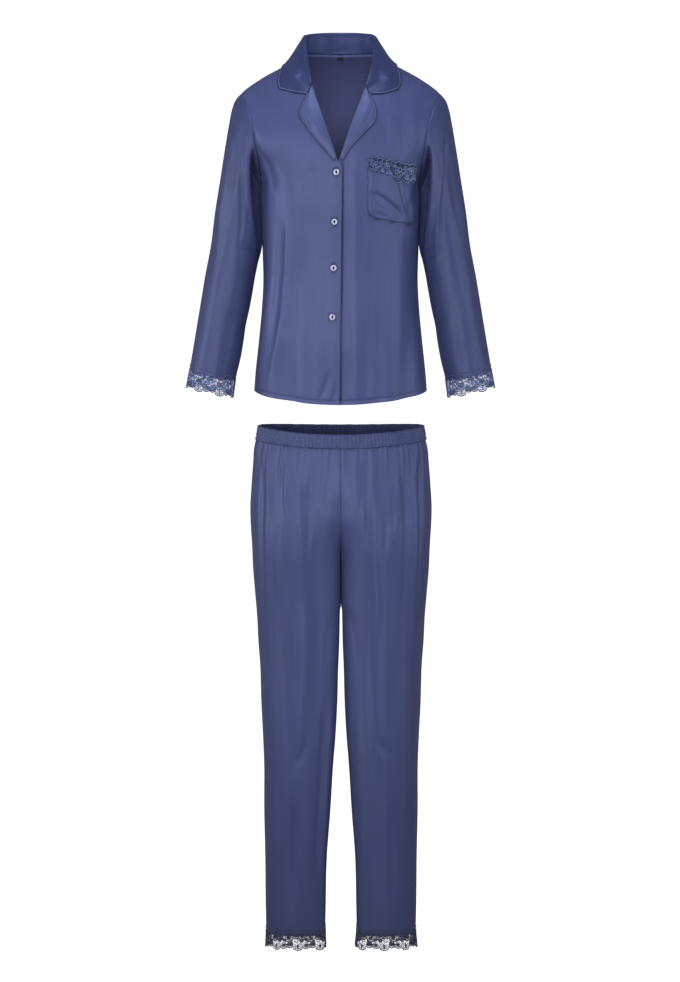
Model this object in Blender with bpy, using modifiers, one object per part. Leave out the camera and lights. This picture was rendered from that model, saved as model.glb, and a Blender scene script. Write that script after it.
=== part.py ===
"""Pyjama set: a button-front top with a notched collar, and pull-on trousers.

Both garments are hollow, as if filled out by a wearer. Sizes are in millimetres,
with X to the wearer's left, -Y to the front and Z up from the base of the neck.
make_mesh() turns them into metres.
"""
import math

import bpy
import numpy as np
from mathutils import Vector

MM = 0.001
CLOTH = 1.2  # wall of the satin
LACE = 1.0  # wall of the lace
SEAM = 0.3  # gap between two pieces at a seam
LAID = 0.6  # gap under a piece that lies on a panel
LAP = 2.3  # depth of the left front under the right one
ROUNDNESS = 2.3  # exponent of the body's sections, 2 is an ellipse

RIGHT, LEFT = -1, 1  # wearer's sides, as the sign of X
FRONT, BACK = -1, 1  # as the sign of Y
SIDE_NAMES = {RIGHT: "right", LEFT: "left"}
FACE_NAMES = {FRONT: "front", BACK: "back"}

SATIN = (0.085, 0.105, 0.290)
TRIM = (0.120, 0.150, 0.330)
LACE_COLOUR = (0.140, 0.180, 0.330)
PEARL = (0.450, 0.520, 0.700)
BLACK = (0.012, 0.013, 0.018)

# Top: sections of the body, from the hem to the neck.
BODY = {
    "height": (-655, -606, -545, -485, -424, -393, -330, -280, -245, -218, -165, -112, -55, 10),
    "half_width": (164, 163, 158.5, 151, 145.8, 146.8, 148, 149.5, 152, 162, 190, 214, 224, 230),
    "front": (114, 117, 121, 121, 119, 119, 122, 125, 125, 123, 118, 107, 95, 84),
    "back": (106, 108, 108, 103, 99, 99, 103, 107, 110, 112, 115, 117, 117, 114),
}
HEM_DROP = 9.5  # how far the hem is lower at the centre front than at the sides
SHOULDER = {
    "across": (0, 40, 71, 106, 148, 187, 205),
    "height": (4, 2, -4, -25, -48, -76, -94),
}
SHOULDER_ROLL = {FRONT: 150, BACK: 90}  # drop over which the shoulder turns into the chest or back
NECK_HALF = 71
# Armhole seam, at even shares from the underarm to the shoulder point.
ARMHOLE = {
    "across": (152, 151, 152.5, 156.5, 161, 164.5, 171, 178.5, 187),
    "height": (-245, -236, -217, -192, -164, -138, -115, -94, -76),
}
# Inner edge of each front above the underarm: front edge, break line, neckline.
FRONT_EDGE = {
    RIGHT: {
        "across": (-2.8, -2.8, 5.6, 17.4, 29.5, 41.3, 53.7, 65.5, 71),
        "height": (-245, -209, -196.6, -161.7, -126.8, -92, -57, -30, -4),
    },
    LEFT: {
        "across": (-24, -19, -3.4, 8.5, 20.5, 34, 46.5, 61.5, 71),
        "height": (-245, -219, -197, -162, -128, -93, -60, -31, -4),
    },
}
HEM_EDGE = {RIGHT: 1.9, LEFT: -30}  # the front edges at the hem, towards their own side
UPPER_ROWS = 8
LOWER_ROWS = 9
FRONT_COLUMNS = 8
BACK_SHOULDER_COLUMNS = 5
BACK_NECK_COLUMNS = 3
BACK_NECK_TURN = 27  # degrees round the shoulder roll to the centre back of the neck

# Soft flutes of the top, growing from start down to the hem.
BODY_FOLDS = {
    "across": (-126, -92, -58, 62, 96, 128),
    "start": (-330, -420, -300, -360, -330, -300),
    "depth": (3.5, -4.5, 4.0, -3.5, 4.5, -3.5),
    "width": (20, 18, 20, 22, 18, 18),
}

# Sleeve lines down its outer and inner side, and its half depth.
SLEEVE_OUTER = {
    "height": (-76, -90, -105.5, -136, -181, -242, -302, -363, -424, -485, -545, -596),
    "across": (187, 198.6, 204.5, 211, 218.7, 228.2, 237.7, 245.4, 256.9, 267, 277, 285.6),
}
SLEEVE_INNER = {
    "height": (-245, -280, -330, -360, -393, -424, -454, -485, -515, -545, -576, -614.8),
    "across": (152, 152, 151, 151.6, 153.6, 160.2, 166, 172.5, 179.2, 183.5, 188.8, 198.3),
}
SLEEVE_DEPTH = {
    "share": (0, 0.15, 0.4, 0.7, 1.0),
    "half": (66, 67, 60, 54, 49),
    "forward": (0, 2, 6, 11, 16),
}
SLEEVE_RINGS = 13
SLEEVE_BLEND = 0.3  # share of the sleeve over which the armhole's form fades
SLEEVE_FOLDS = {
    "degrees": (112, 68, 90, 247),
    "start": (0.02, 0.05, 0.38, 0.1),
    "end": (0.50, 0.40, 0.85, 0.7),
    "depth": (8, -4, 4, 6),
}
CUFF_LACE_DROP = 37
CUFF_LACE_LEAN = 6.0  # how far the lace goes on outwards
LACE_REPEATS = {"cuff": 9, "hem": 11}  # in each half tube
LACE_LEVELS = (0, 0.27, 0.50, 0.62, 0.84, 1.0)  # header, holes, bar, holes, scalloped edge
SCALLOP = 5

# Lapels: inner and outer edge from the bottom of the neck opening to the gorge.
LAPEL = {
    RIGHT: {
        "inner_across": (6.6, 15.0, 23.9, 32.0, 38.2, 44.2, 48.9, 53.4),
        "inner_height": (-193.6, -168.5, -143.3, -119.1, -100.6, -84.0, -69.3, -58.4),
        "outer_across": (10.6, 25.4, 43.2, 60.2, 72.0, 74.5, 69.4, 61.7),
        "outer_height": (-196.0, -177.8, -158.2, -135.9, -120.1, -109.0, -94.3, -77.4),
    },
    LEFT: {
        "inner_across": (-1.8, 6.4, 15.4, 24.4, 31.4, 37.9, 43.0, 47.0),
        "inner_height": (-193.0, -168.5, -143.3, -119.1, -100.6, -84.0, -70.3, -61.4),
        "outer_across": (2.0, 13.1, 28.2, 46.0, 61.1, 64.5, 62.1, 54.9),
        "outer_height": (-195.5, -177.8, -160.1, -141.6, -125.8, -111.8, -98.0, -78.3),
    },
}
LAPEL_COLUMNS = 4

# Collar stations from the centre back to its front end: the roll and the outer edge.
COLLAR = {
    RIGHT: {
        "roll_across": (0, 30, 55, 67, 69.3, 65.4, 60.6, 56.5, 54.2),
        "roll_depth": (62, 59, 46, 34, 20, -14, -43, -63, -76),
        "roll_height": (31.8, 31.8, 31.5, 31.2, 29.5, 9.3, -16.1, -39.7, -55.4),
        "edge_across": (0, 42, 78, 97, 105.5, 112.3, 115, 112.4, 105),
        "edge_height": (-24, -25, -26, -27, -22, -38, -54, -62.5, -66.6),
        "edge_depth": (86, 78, 52, 26, 0, -32, -50, -60, -64),
    },
    LEFT: {
        "roll_across": (0, 30, 54, 63, 64.4, 62.4, 58.5, 52.4, 47.4),
        "roll_depth": (62, 59, 46, 34, 20, -12, -45, -66, -79),
        "roll_height": (31.8, 31.8, 31.4, 30.6, 26.5, 4.7, -21.5, -44.3, -58.9),
        "edge_across": (0, 42, 77, 95, 102.1, 107.6, 110.3, 108.6, 101),
        "edge_height": (-24, -25, -26, -26, -20, -34, -50.6, -60, -66.6),
        "edge_depth": (86, 78, 52, 26, 0, -30, -48, -58, -63),
    },
}
# Front end of the collar below the roll: gorge, notch, then the leaf's lower edge.
COLLAR_END = {
    RIGHT: {"across": (57.8, 62.4, 84.0, 105.0), "height": (-65.3, -74.6, -70.6, -66.6)},
    LEFT: {"across": (51.1, 55.8, 77.0, 101.0), "height": (-67.6, -74.6, -72.6, -66.6)},
}
# Neckline from the centre back to the front end of the collar.
NECK_SEAM = {
    RIGHT: {"across": (0, 28, 52, 66, 71, 70.2, 67.2, 62.6, 55.2), "height": (-15, -28, -43, -54.4)},
    LEFT: {"across": (0, 28, 52, 66, 71, 69.4, 64.8, 56.8, 48.6), "height": (-15, -28, -43, -57.0)},
}
COLLAR_STEPS = 11
COLLAR_ROLL = {"station": (0, 5, 8), "radius": (3.4, 3.0, 2.0)}
COLLAR_FALL_BULGE = 3.0
COLLAR_FALL_GAP = 1.6  # under the fall, which stands a little off the shoulders
COLLAR_SEAM_GAP = 1.5
COLLAR_END_GAP = 1.4  # under its front end
COLLAR_ROLL_RISE = 5.0  # least height of the roll over the fronts
PIPING = 1.1  # radius of the self piping
PIPING_GAP = 0.6
PIPING_LIFT = 0.6  # piping's centre above the middle of the cloth that it edges

POCKET = {
    "across": (51.7, 55, 61, 74, 88, 103, 118, 131, 138, 142),
    "bottom": (-290, -299, -304.5, -308.5, -311.5, -315, -318, -319, -316, -309),
}
POCKET_TOP = {"across": (51.7, 142), "height": (-192, -207)}
POCKET_ROWS = 6
POCKET_GAP = 1.1  # under the pocket, whose mouth stands a little open
POCKET_LACE_DROP = 34
POCKET_LACE_REPEATS = 6
POCKET_LACE_INSET = 0.5  # from the pocket's top and side edges

BUTTONS = {"across": (-7.9, -11.3, -13.0, -15.4), "height": (-219.8, -313.1, -400.4, -492.8)}
BUTTON_PROFILE = {
    "radius": (0, 3.4, 4.6, 5.5, 5.75, 5.2, 0),
    "height": (1.5, 1.6, 2.3, 2.1, 1.3, 0.3, 0),
}
BUTTON_STEPS = 14
LABEL_SIZE = 9.5
LABEL_THICKNESS = 0.8

# Trousers: outlines of one half from the waist seam to the hem, from the centre seam.
TROUSER_CENTRE = 0.9
TROUSERS = {
    "height": (-733, -751, -774, -820, -866, -888, -934, -980, -1026, -1072, -1118, -1163,
               -1232, -1301, -1347, -1440, -1532, -1624, -1671),
    "outer": (160.5, 164.8, 166.8, 170.2, 172.6, 172, 169.2, 167.2, 163.4, 159.6, 157.4, 154,
              152, 148.6, 146.8, 146.6, 144.8, 144, 143),
    "inner": (0.2, 0.2, 0.2, 0.2, 0.2, 0.2, 0.4, 0.7, 0.9, 1.0, 1.9, 3.8,
              5.7, 9.5, 13.3, 19, 25.7, 27.7, 28.6),
    "front": (106, 108, 110, 113, 115, 115, 113, 108, 103, 99, 96, 93,
              89, 85, 81, 73, 65, 60, 58),
    "back": (112, 117, 123, 131, 136, 136, 131, 120, 111, 105, 101, 97,
             92, 87, 83, 75, 67, 62, 60),
}
CROTCH_TOP = -880
CROTCH = -978
WAIST_DROP = {FRONT: 10, BACK: 7}  # how far the waist is lower at the centre than at the sides
WAIST_DROP_ENDS = -880
GATHER_HEIGHTS = (-733, -745, -762, -785, -812, -845)
LEG_HEIGHTS = (-880, -908, -935, -958, -978, -1010, -1072, -1163, -1270, -1390, -1532, -1671)
GATHERS = 10  # in each of the four panels
GATHER_DEPTH = 2.2
GATHER_LENGTHS = (60, 115, 75, 100, 50, 120, 65, 105, 55, 90)
# Long soft folds of the trousers, by their place across the front and back of each leg.
TROUSER_FOLDS = {
    RIGHT: {"across": (-74, -40, -14), "end": (-1180, -1500, -1080), "depth": (4.5, -4, 3.5)},
    LEFT: {"across": (74, 38, 14), "end": (-1450, -1250, -1060), "depth": (4.0, -4.5, 3.5)},
}
TROUSER_FOLD_WIDTH = 19

BAND_HEIGHT = 26.7
BAND_RIBS = 90
BAND_RIB_DEPTH = 1.0
BAND_TAPER = 4.5  # how much narrower its top is, on each side
HEM_LACE_DROP = 33
HEM_LACE_FLARE = 1.5


def smooth(at, values, x):
    """Cubic curve through a table's rows, flat beyond its ends."""
    at, values = np.asarray(at, float), np.asarray(values, float)
    if at[0] > at[-1]:
        at, values = at[::-1], values[::-1]
    slope = np.gradient(values, at)
    x = np.clip(np.asarray(x, float), at[0], at[-1])
    i = np.clip(np.searchsorted(at, x) - 1, 0, len(at) - 2)
    step = at[i + 1] - at[i]
    t = (x - at[i]) / step
    rise = values[i + 1] - values[i]
    a = slope[i] * step - rise
    b = rise - slope[i + 1] * step
    return values[i] + t * rise + t * (1 - t) * ((1 - t) * a + t * b)


def unit(vectors):
    return vectors / np.maximum(np.linalg.norm(vectors, axis=-1, keepdims=True), 1e-9)


def ease(x):
    x = np.clip(x, 0, 1)
    return x * x * (3 - 2 * x)


def material(name, colour, roughness, sheen=0.0):
    made = bpy.data.materials.get(name)
    if made is None:
        made = bpy.data.materials.new(name)
        made.use_nodes = True
        shader = made.node_tree.nodes["Principled BSDF"]
        shader.inputs["Base Color"].default_value = (*colour, 1)
        shader.inputs["Roughness"].default_value = roughness
        shader.inputs["Metallic"].default_value = 0.0
        shader.inputs["Sheen Weight"].default_value = sheen
        made.diffuse_color = (*colour, 1)
    return made


def make_mesh(name, points, faces):
    mesh = bpy.data.meshes.new(name)
    mesh.from_pydata((np.asarray(points, float) * MM).tolist(), [], faces)
    mesh.validate()
    mesh.update()
    return mesh


def add_piece(name, mesh, finish):
    piece = bpy.data.objects.new(name, mesh)
    bpy.data.collections[SET_NAME].objects.link(piece)
    mesh.materials.clear()
    mesh.materials.append(finish)
    return piece


def strip_faces(first, second, start_first, start_second, closed):
    """Faces between two rows; a row may have half the other's columns."""
    faces = []
    if first == second:
        for i in range(first if closed else first - 1):
            j = (i + 1) % first
            faces.append((start_first + i, start_first + j, start_second + j, start_second + i))
        return faces
    for i in range(second - 1):
        wide = start_first + 2 * i
        narrow = start_second + i
        faces.append((wide, wide + 1, narrow))
        faces.append((wide + 1, narrow + 1, narrow))
        faces.append((wide + 1, wide + 2, narrow + 1))
    return faces


def wall(name, rows, normals, thickness, finish, closed=False, cut=()):
    """A cloth wall: rows of outer points, the same rows moved in, and rims round every edge."""
    starts = np.cumsum([0] + [len(row) for row in rows])
    faces = []
    for r in range(len(rows) - 1):
        strip = strip_faces(len(rows[r]), len(rows[r + 1]), starts[r], starts[r + 1], closed)
        faces += [face for c, face in enumerate(strip) if (r, c) not in cut]
    outer = np.concatenate(rows)
    inner = outer - np.concatenate(normals) * thickness
    count = len(outer)
    edges = {(face[i - 1], face[i]) for face in faces for i in range(len(face))}
    rims = [(b, a, a + count, b + count) for a, b in sorted(edges) if (b, a) not in edges]
    # Both layers of a face start at the same corner, so that they split along one diagonal.
    inside = [tuple(i + count for i in (face[0], *reversed(face[1:]))) for face in faces]
    points = np.concatenate([outer, inner])
    faces = [tuple(int(i) for i in face) for face in faces + inside + rims]
    corners = [points[[face[0], face[i], face[i + 1]]] for face in faces for i in range(1, len(face) - 1)]
    if sum(np.dot(a, np.cross(b, c)) for a, b, c in corners) < 0:
        faces = [tuple(reversed(face)) for face in faces]
    return add_piece(name, make_mesh(name, points, faces), finish)


# --- Form of the top's body -------------------------------------------------------


def squared_depth(across, height, face):
    """Square of the body's depth in front of or behind the shoulder line."""
    half = smooth(BODY["height"], BODY["half_width"], height)
    depth = smooth(BODY["height"], BODY[FACE_NAMES[face]], height)
    left = 1 - (np.abs(across) / half) ** ROUNDNESS
    section = np.sign(left) * np.abs(left) ** (2 / ROUNDNESS)
    drop = (smooth(SHOULDER["across"], SHOULDER["height"], np.abs(across)) - height)
    drop = np.minimum(drop / SHOULDER_ROLL[face], 1)
    return depth ** 2 * section * (2 * drop - drop * drop)


def body_normal(across, depth, height, face):
    step = 0.5
    slope_across = squared_depth(across + step, height, face) - squared_depth(across - step, height, face)
    slope_height = squared_depth(across, height + step, face) - squared_depth(across, height - step, face)
    parts = (-slope_across / (2 * step), 2 * depth, -slope_height / (2 * step))
    return unit(np.stack(np.broadcast_arrays(*parts), axis=-1))


def body_flutes(across, height):
    out = 0
    for place, start, depth, width in zip(*BODY_FOLDS.values()):
        share = ease((start - height) / (start - BODY["height"][0]))
        out = out + depth * share * np.exp(-(((across - place) / width) ** 2))
    return out


def body_point(across, height, face, out=0.0):
    """Points of the body's cloth, moved out along the normal, and their normals."""
    across, height = np.broadcast_arrays(np.asarray(across, float), np.asarray(height, float))
    depth = face * np.maximum(np.sqrt(np.maximum(squared_depth(across, height, face), 0)), SEAM / 2)
    normal = body_normal(across, depth, height, face)
    out = np.asarray(out + body_flutes(across, height) * ease((np.abs(depth) - 15) / 40))
    return np.stack([across, depth, height], axis=-1) + normal * out[..., None], normal


def push_clear(points, gap):
    """Moves points out to a gap from the body where they lie nearer than that."""
    moved = np.array(points, float)
    for _ in range(3):
        for i, (x, y, z) in enumerate(moved):
            face = FRONT if y < 0 else BACK
            gradient = body_normal(x, y, z, face)
            step = 0.5
            rise = [squared_depth(x + step, z, face) - squared_depth(x - step, z, face),
                    squared_depth(x, z + step, face) - squared_depth(x, z - step, face)]
            steep = math.hypot(rise[0], 2 * y, rise[1])
            near = (y * y - squared_depth(x, z, face)) / max(steep, 1e-6)
            if near < gap:
                moved[i] += gradient * min(gap - near, 3)
    return moved


def armhole(share):
    steps = np.linspace(0, 1, len(ARMHOLE["across"]))
    return (smooth(steps, ARMHOLE["across"], share), smooth(steps, ARMHOLE["height"], share))


def hem_height(across):
    fall = HEM_DROP * np.sqrt(np.clip(1 - (np.abs(across) / 164) ** 2, 0, 1))
    return -645.3 - fall


def coons(bottom, top, side, centre):
    """Grid of (across, height) pairs between four edges."""
    w = np.linspace(0, 1, len(side))[:, None, None]
    c = np.linspace(0, 1, len(bottom))[None, :, None]
    corners = (1 - w) * ((1 - c) * bottom[0] + c * bottom[-1]) + w * ((1 - c) * top[0] + c * top[-1])
    return (1 - w) * bottom + w * top + (1 - c) * side[:, None] + c * centre[:, None] - corners


def column_stack(*columns):
    return np.stack(np.broadcast_arrays(*columns), axis=-1)


def lower_rows(inner_top, inner_hem, columns):
    """(across, height) grid from the hem to the underarm, denser near the side seam."""
    share = np.cos(np.linspace(0, math.pi / 2, columns + 1))
    rows = []
    for level in np.linspace(0, 1, LOWER_ROWS + 1)[:-1]:
        height = np.full(columns + 1, -650 + level * (650 + ARMHOLE["height"][0]))
        half = smooth(BODY["height"], BODY["half_width"], height[0])
        inner = inner_hem + (inner_top - inner_hem) * level
        across = inner + (half - inner) * share
        blend = (1 - level) ** 3
        rows.append(column_stack(across, height + blend * (hem_height(across) - height)))
    return rows


def upper_rows(top, centre, columns):
    share = np.cos(np.linspace(0, math.pi / 2, columns + 1))
    side = column_stack(*armhole(np.linspace(0, 1, UPPER_ROWS + 1)))
    bottom = column_stack(centre[0][0] + (side[0][0] - centre[0][0]) * share, side[0][1])
    return list(coons(bottom, top, side, centre))


def front_panel(side):
    centre = column_stack(FRONT_EDGE[side]["across"], FRONT_EDGE[side]["height"])
    seam = np.linspace(ARMHOLE["across"][-1], NECK_HALF, FRONT_COLUMNS + 1)
    top = column_stack(seam, smooth(SHOULDER["across"], SHOULDER["height"], seam))
    lower = lower_rows(centre[0][0], HEM_EDGE[side], FRONT_COLUMNS)
    grid = np.array(lower + upper_rows(top, centre, FRONT_COLUMNS))
    under = 0.0
    if side == LEFT:
        under = -LAP * (1 - ease((grid[..., 0] - 12) / 18)) * ease((-185 - grid[..., 1]) / 12)
    points, normals = body_point(grid[..., 0] * side, grid[..., 1], FRONT, under)
    name = f"front_{SIDE_NAMES[side]}"
    return wall(name, list(points), list(normals), CLOTH, material("top satin", SATIN, 0.42, 0.2))


def neck_back(across):
    """Height of the back neck seam."""
    turn = np.radians(BACK_NECK_TURN) * np.sqrt(np.clip(1 - (across / NECK_HALF) ** 2, 0, 1))
    ridge = smooth(SHOULDER["across"], SHOULDER["height"], np.abs(across))
    return ridge - SHOULDER_ROLL[BACK] * (1 - np.cos(turn))


def back_panel():
    columns = BACK_SHOULDER_COLUMNS + BACK_NECK_COLUMNS
    seam = np.linspace(ARMHOLE["across"][-1], NECK_HALF, BACK_SHOULDER_COLUMNS + 1)
    neck = NECK_HALF * np.cos(np.linspace(0, math.pi / 2, BACK_NECK_COLUMNS + 1)[1:])
    height = smooth(SHOULDER["across"], SHOULDER["height"], seam)
    top = column_stack(np.append(seam, neck), np.append(height, neck_back(neck)))
    levels = np.linspace(0, 1, UPPER_ROWS + 1)
    centre = column_stack(0 * levels, ARMHOLE["height"][0] + levels * (top[-1][1] - ARMHOLE["height"][0]))
    half = np.array(lower_rows(0, 0, columns) + upper_rows(top, centre, columns))
    whole = np.concatenate([half * [RIGHT, 1], half[:, -2::-1]], axis=1)
    points, normals = body_point(whole[..., 0], whole[..., 1], BACK)
    return wall("back", list(points), list(normals), CLOTH, material("top satin", SATIN, 0.42, 0.2))


# --- Sleeves and cuffs ------------------------------------------------------------


def sleeve_lines(share):
    """Outer point, inner point, half depth and forward shift at a share of the sleeve."""
    outer_height = SLEEVE_OUTER["height"][0] * (1 - share) + SLEEVE_OUTER["height"][-1] * share
    inner_height = SLEEVE_INNER["height"][0] * (1 - share) + SLEEVE_INNER["height"][-1] * share
    outer = smooth(SLEEVE_OUTER["height"], SLEEVE_OUTER["across"], outer_height)
    inner = smooth(SLEEVE_INNER["height"], SLEEVE_INNER["across"], inner_height)
    half = smooth(SLEEVE_DEPTH["share"], SLEEVE_DEPTH["half"], share)
    forward = smooth(SLEEVE_DEPTH["share"], SLEEVE_DEPTH["forward"], share)
    return outer, outer_height, inner, inner_height, half, forward


def sleeve_ellipse(turn, share):
    outer, outer_height, inner, inner_height, half, forward = sleeve_lines(share)
    lean = np.cos(turn)
    depth = -half * np.sin(turn)
    crease = 0
    for degrees, start, end, fold in zip(*SLEEVE_FOLDS.values()):
        away = (np.degrees(turn) - degrees) / 16
        along = np.sin(np.pi * np.clip((share - start) / (end - start), 0, 1))
        crease = crease + fold * along * np.exp(-away * away)
    shrink = 1 - crease / 55
    across = (outer + inner) / 2 + (outer - inner) / 2 * lean * shrink
    height = (outer_height + inner_height) / 2 + (outer_height - inner_height) / 2 * lean
    return column_stack(across, depth * shrink - forward, height)


def armhole_ring(turn):
    share = 1 - np.abs(np.degrees(turn) - 360 * (np.degrees(turn) > 180)) / 180
    across, height = armhole(share)
    front, front_normal = body_point(across, height, FRONT)
    back, back_normal = body_point(across, height, BACK)
    ahead = (np.sin(turn) >= 0)[..., None]
    ring = np.where(ahead, front, back)
    seam = (np.abs(np.sin(turn)) < 1e-6)[..., None]
    ring = np.where(seam, ring * [1, 0, 1], ring)
    return ring + [SEAM + 0.1, 0, 0], np.where(ahead, front_normal, back_normal)


def sleeve_point(turn, share):
    ring, _ = armhole_ring(turn)
    fade = (1 - np.clip(share / SLEEVE_BLEND, 0, 1)) ** 2
    return sleeve_ellipse(turn, share) + (ring - sleeve_ellipse(turn, 0)) * fade


def sleeve_normal(turn, share):
    step = 0.01
    around = sleeve_point(turn + step, share) - sleeve_point(turn - step, share)
    along = sleeve_point(turn, min(share + step, 1)) - sleeve_point(turn, max(share - step, 0))
    return unit(np.cross(around, along))


def sleeve(side):
    turns = np.linspace(0, 2 * math.pi, 2 * UPPER_ROWS + 1)[:-1]
    rows, normals = [], []
    for share in np.linspace(0, 1, SLEEVE_RINGS + 1):
        own = sleeve_normal(turns, share)
        if share == 0:
            _, body = armhole_ring(turns)
            agree = np.sum(own * body, axis=-1, keepdims=True) > 0
            own = np.where(agree, unit(own + body), own)
        rows.append(sleeve_point(turns, share) * [side, 1, 1])
        normals.append(own * [side, 1, 1])
    name = f"sleeve_{SIDE_NAMES[side]}"
    finish = material("sleeve satin", SATIN, 0.42, 0.2)
    return wall(name, rows, normals, CLOTH, finish, closed=True)


def lace_rows(top, drop, levels, first, last, repeats, scallop):
    """Rows of a lace wall that hangs from top(share round); holes in every other column."""
    count = 2 * repeats
    around = np.linspace(first, last, count + 1)
    rows = []
    for level in levels:
        row = top(around) + drop(around) * level
        if level == levels[-1]:
            row[:, 2] += scallop * (np.arange(count + 1) % 2)
        rows.append(row)
    cut = {(1, c) for c in range(0, count, 2)} | {(3, c) for c in range(1, count, 2)}
    return rows, cut


def lace_half(name, top, drop, centre, face, repeats, mirror):
    """Half of a lace tube round an upright axis, from its outer to its inner side."""
    margin = SEAM / 2 / 50
    first, last = (margin, math.pi - margin) if face == FRONT else (math.pi + margin, 2 * math.pi - margin)
    rows, cut = lace_rows(top, drop, LACE_LEVELS, first, last, repeats, SCALLOP)
    normals = []
    for row in rows:
        away = np.gradient(row, axis=0)
        out = unit(np.cross(away, [0, 0, -1]))
        facing = np.sum(out * (row - centre), axis=-1, keepdims=True)
        out = out * np.sign(facing)
        out[[0, -1], 1] = 0
        normals.append(unit(out) * mirror)
    rows = [row * mirror for row in rows]
    return wall(name, rows, normals, LACE, material("lace", LACE_COLOUR, 0.75, 0.3), cut=cut)


def cuff_lace(side, face):
    def top(turn):
        return sleeve_point(turn, 1.0) - [0, 0, SEAM]

    def drop(turn):
        return column_stack(CUFF_LACE_LEAN + 0 * turn, 0, -CUFF_LACE_DROP)

    outer, outer_height, inner, inner_height, half, forward = sleeve_lines(1.0)
    centre = np.array([(outer + inner) / 2, -forward, 0])
    name = f"cuff_lace_{SIDE_NAMES[side]}_{FACE_NAMES[face]}"
    return lace_half(name, top, drop, centre, face, LACE_REPEATS["cuff"], [side, 1, 1])


# --- Collar, lapels, piping -------------------------------------------------------


def lapel_grid(side):
    table = LAPEL[side]
    share = np.linspace(0, 1, LAPEL_COLUMNS + 1)[None, :]
    inner_across, inner_height, outer_across, outer_height = (
        np.asarray(column, float)[:, None] for column in table.values()
    )
    across = inner_across + (outer_across - inner_across) * share
    height = inner_height + (outer_height - inner_height) * share
    return body_point(across * side, height, FRONT, LAID + CLOTH)


def lapel(side):
    points, normals = lapel_grid(side)
    finish = material("lapel satin", SATIN, 0.38, 0.2)
    return wall(f"lapel_{SIDE_NAMES[side]}", list(points), list(normals), CLOTH, finish)


def collar_section(side, station):
    """Points across the collar, from the neck seam over the roll to the outer edge."""
    stations = np.arange(9)
    table = COLLAR[side]
    axes = ("across", "depth", "height")
    roll = np.array([smooth(stations, table[f"roll_{axis}"], station) for axis in axes])
    edge = np.array([smooth(stations, table[f"edge_{axis}"], station) for axis in axes])
    seam_across = float(smooth(stations, NECK_SEAM[side]["across"], station))
    if station <= 4:
        seam, _ = body_point(seam_across, neck_back(seam_across), BACK, COLLAR_SEAM_GAP)
    else:
        heights = (neck_back(NECK_HALF),) + NECK_SEAM[side]["height"]
        seam_height = float(smooth(stations[4:], heights, station))
        seam, _ = body_point(seam_across, seam_height, FRONT, COLLAR_SEAM_GAP)
    if station > 4:
        roll = push_clear(roll[None], COLLAR_ROLL_RISE * min(1, station - 4))[0]
    stand = unit(seam - roll)
    fall = unit(edge - roll)
    up = -unit(stand + fall)
    across = unit(fall - stand)
    radius = float(smooth(COLLAR_ROLL["station"], COLLAR_ROLL["radius"], station))
    roll_in = roll - up * radius * 0.6 - across * radius
    roll_out = roll - up * radius * 0.6 + across * radius
    points = [seam, (seam + roll_in) / 2, roll_in, roll, roll_out]
    if station == stations[-1]:
        end = COLLAR_END[side]
        ends, _ = body_point(end["across"], end["height"], FRONT, COLLAR_END_GAP + CLOTH)
        points += list(ends)
    else:
        for share in (0.25, 0.5, 0.75, 1.0):
            bulge = up * COLLAR_FALL_BULGE * math.sin(math.pi * share) * min(1, (8 - station) / 2)
            points.append(roll_out + (edge - roll_out) * share + bulge)
        points[5:] = push_clear(points[5:], COLLAR_FALL_GAP + CLOTH)
    return np.array(points)


def collar_grid():
    right = [collar_section(RIGHT, s) * [RIGHT, 1, 1] for s in np.linspace(8, 0, COLLAR_STEPS + 1)]
    left = [collar_section(LEFT, s) for s in np.linspace(0, 8, COLLAR_STEPS + 1)[1:]]
    return np.array(right + left)


def collar_normals(grid):
    """Normals that face out of the roll."""
    normals = unit(np.cross(np.gradient(grid, axis=1), np.gradient(grid, axis=0)))
    return normals * np.sign(np.sum(normals[:, 3, 2]))


def collar():
    grid = collar_grid()
    finish = material("collar satin", SATIN, 0.38, 0.2)
    return wall("collar", list(grid), list(collar_normals(grid)), CLOTH, finish)


def beyond(edge, inside, normals):
    """Line outside an edge, square to it, at the piping's distance."""
    out = unit(np.cross(np.gradient(edge, axis=0), normals))
    out = out * np.sign(np.sum(out * (edge - inside), axis=-1, keepdims=True))
    return edge + out * (PIPING_GAP + PIPING) + normals * (PIPING_LIFT - CLOTH / 2)


def piping(side):
    """Round self piping from the bottom of the lapel, round notch and leaf, to the centre back."""
    points, normals = lapel_grid(side)
    route = beyond(points[:, -1], points[:, -2], normals[:, -1])[:-1]
    grid = collar_grid()
    grid = grid[: COLLAR_STEPS + 1] if side == RIGHT else grid[:COLLAR_STEPS - 1:-1]
    normals = collar_normals(grid)
    lower = np.arange(6, 9)
    edge = np.concatenate([grid[0, lower], grid[1:, 8]])
    inside = np.concatenate([grid[1, lower], grid[1:, 7]])
    facing = np.concatenate([normals[0, lower], normals[1:, 8]])
    leaf = beyond(edge, inside, facing)
    leaf[-1, 0] = side * SEAM / 2
    route = np.concatenate([route, leaf])
    curve = bpy.data.curves.new("piping route", "CURVE")
    curve.dimensions = "3D"
    curve.bevel_depth = PIPING * MM
    curve.bevel_resolution = 1
    curve.use_fill_caps = True
    spline = curve.splines.new("POLY")
    spline.points.add(len(route) - 1)
    for point, place in zip(spline.points, route):
        point.co = (*(place * MM), 1)
    name = f"piping_{SIDE_NAMES[side]}"
    piece = bpy.data.objects.new(name, curve)
    bpy.data.collections[SET_NAME].objects.link(piece)
    curve.materials.append(material("piping", TRIM, 0.4))
    return piece


# --- Pocket, buttons, label -------------------------------------------------------


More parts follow.
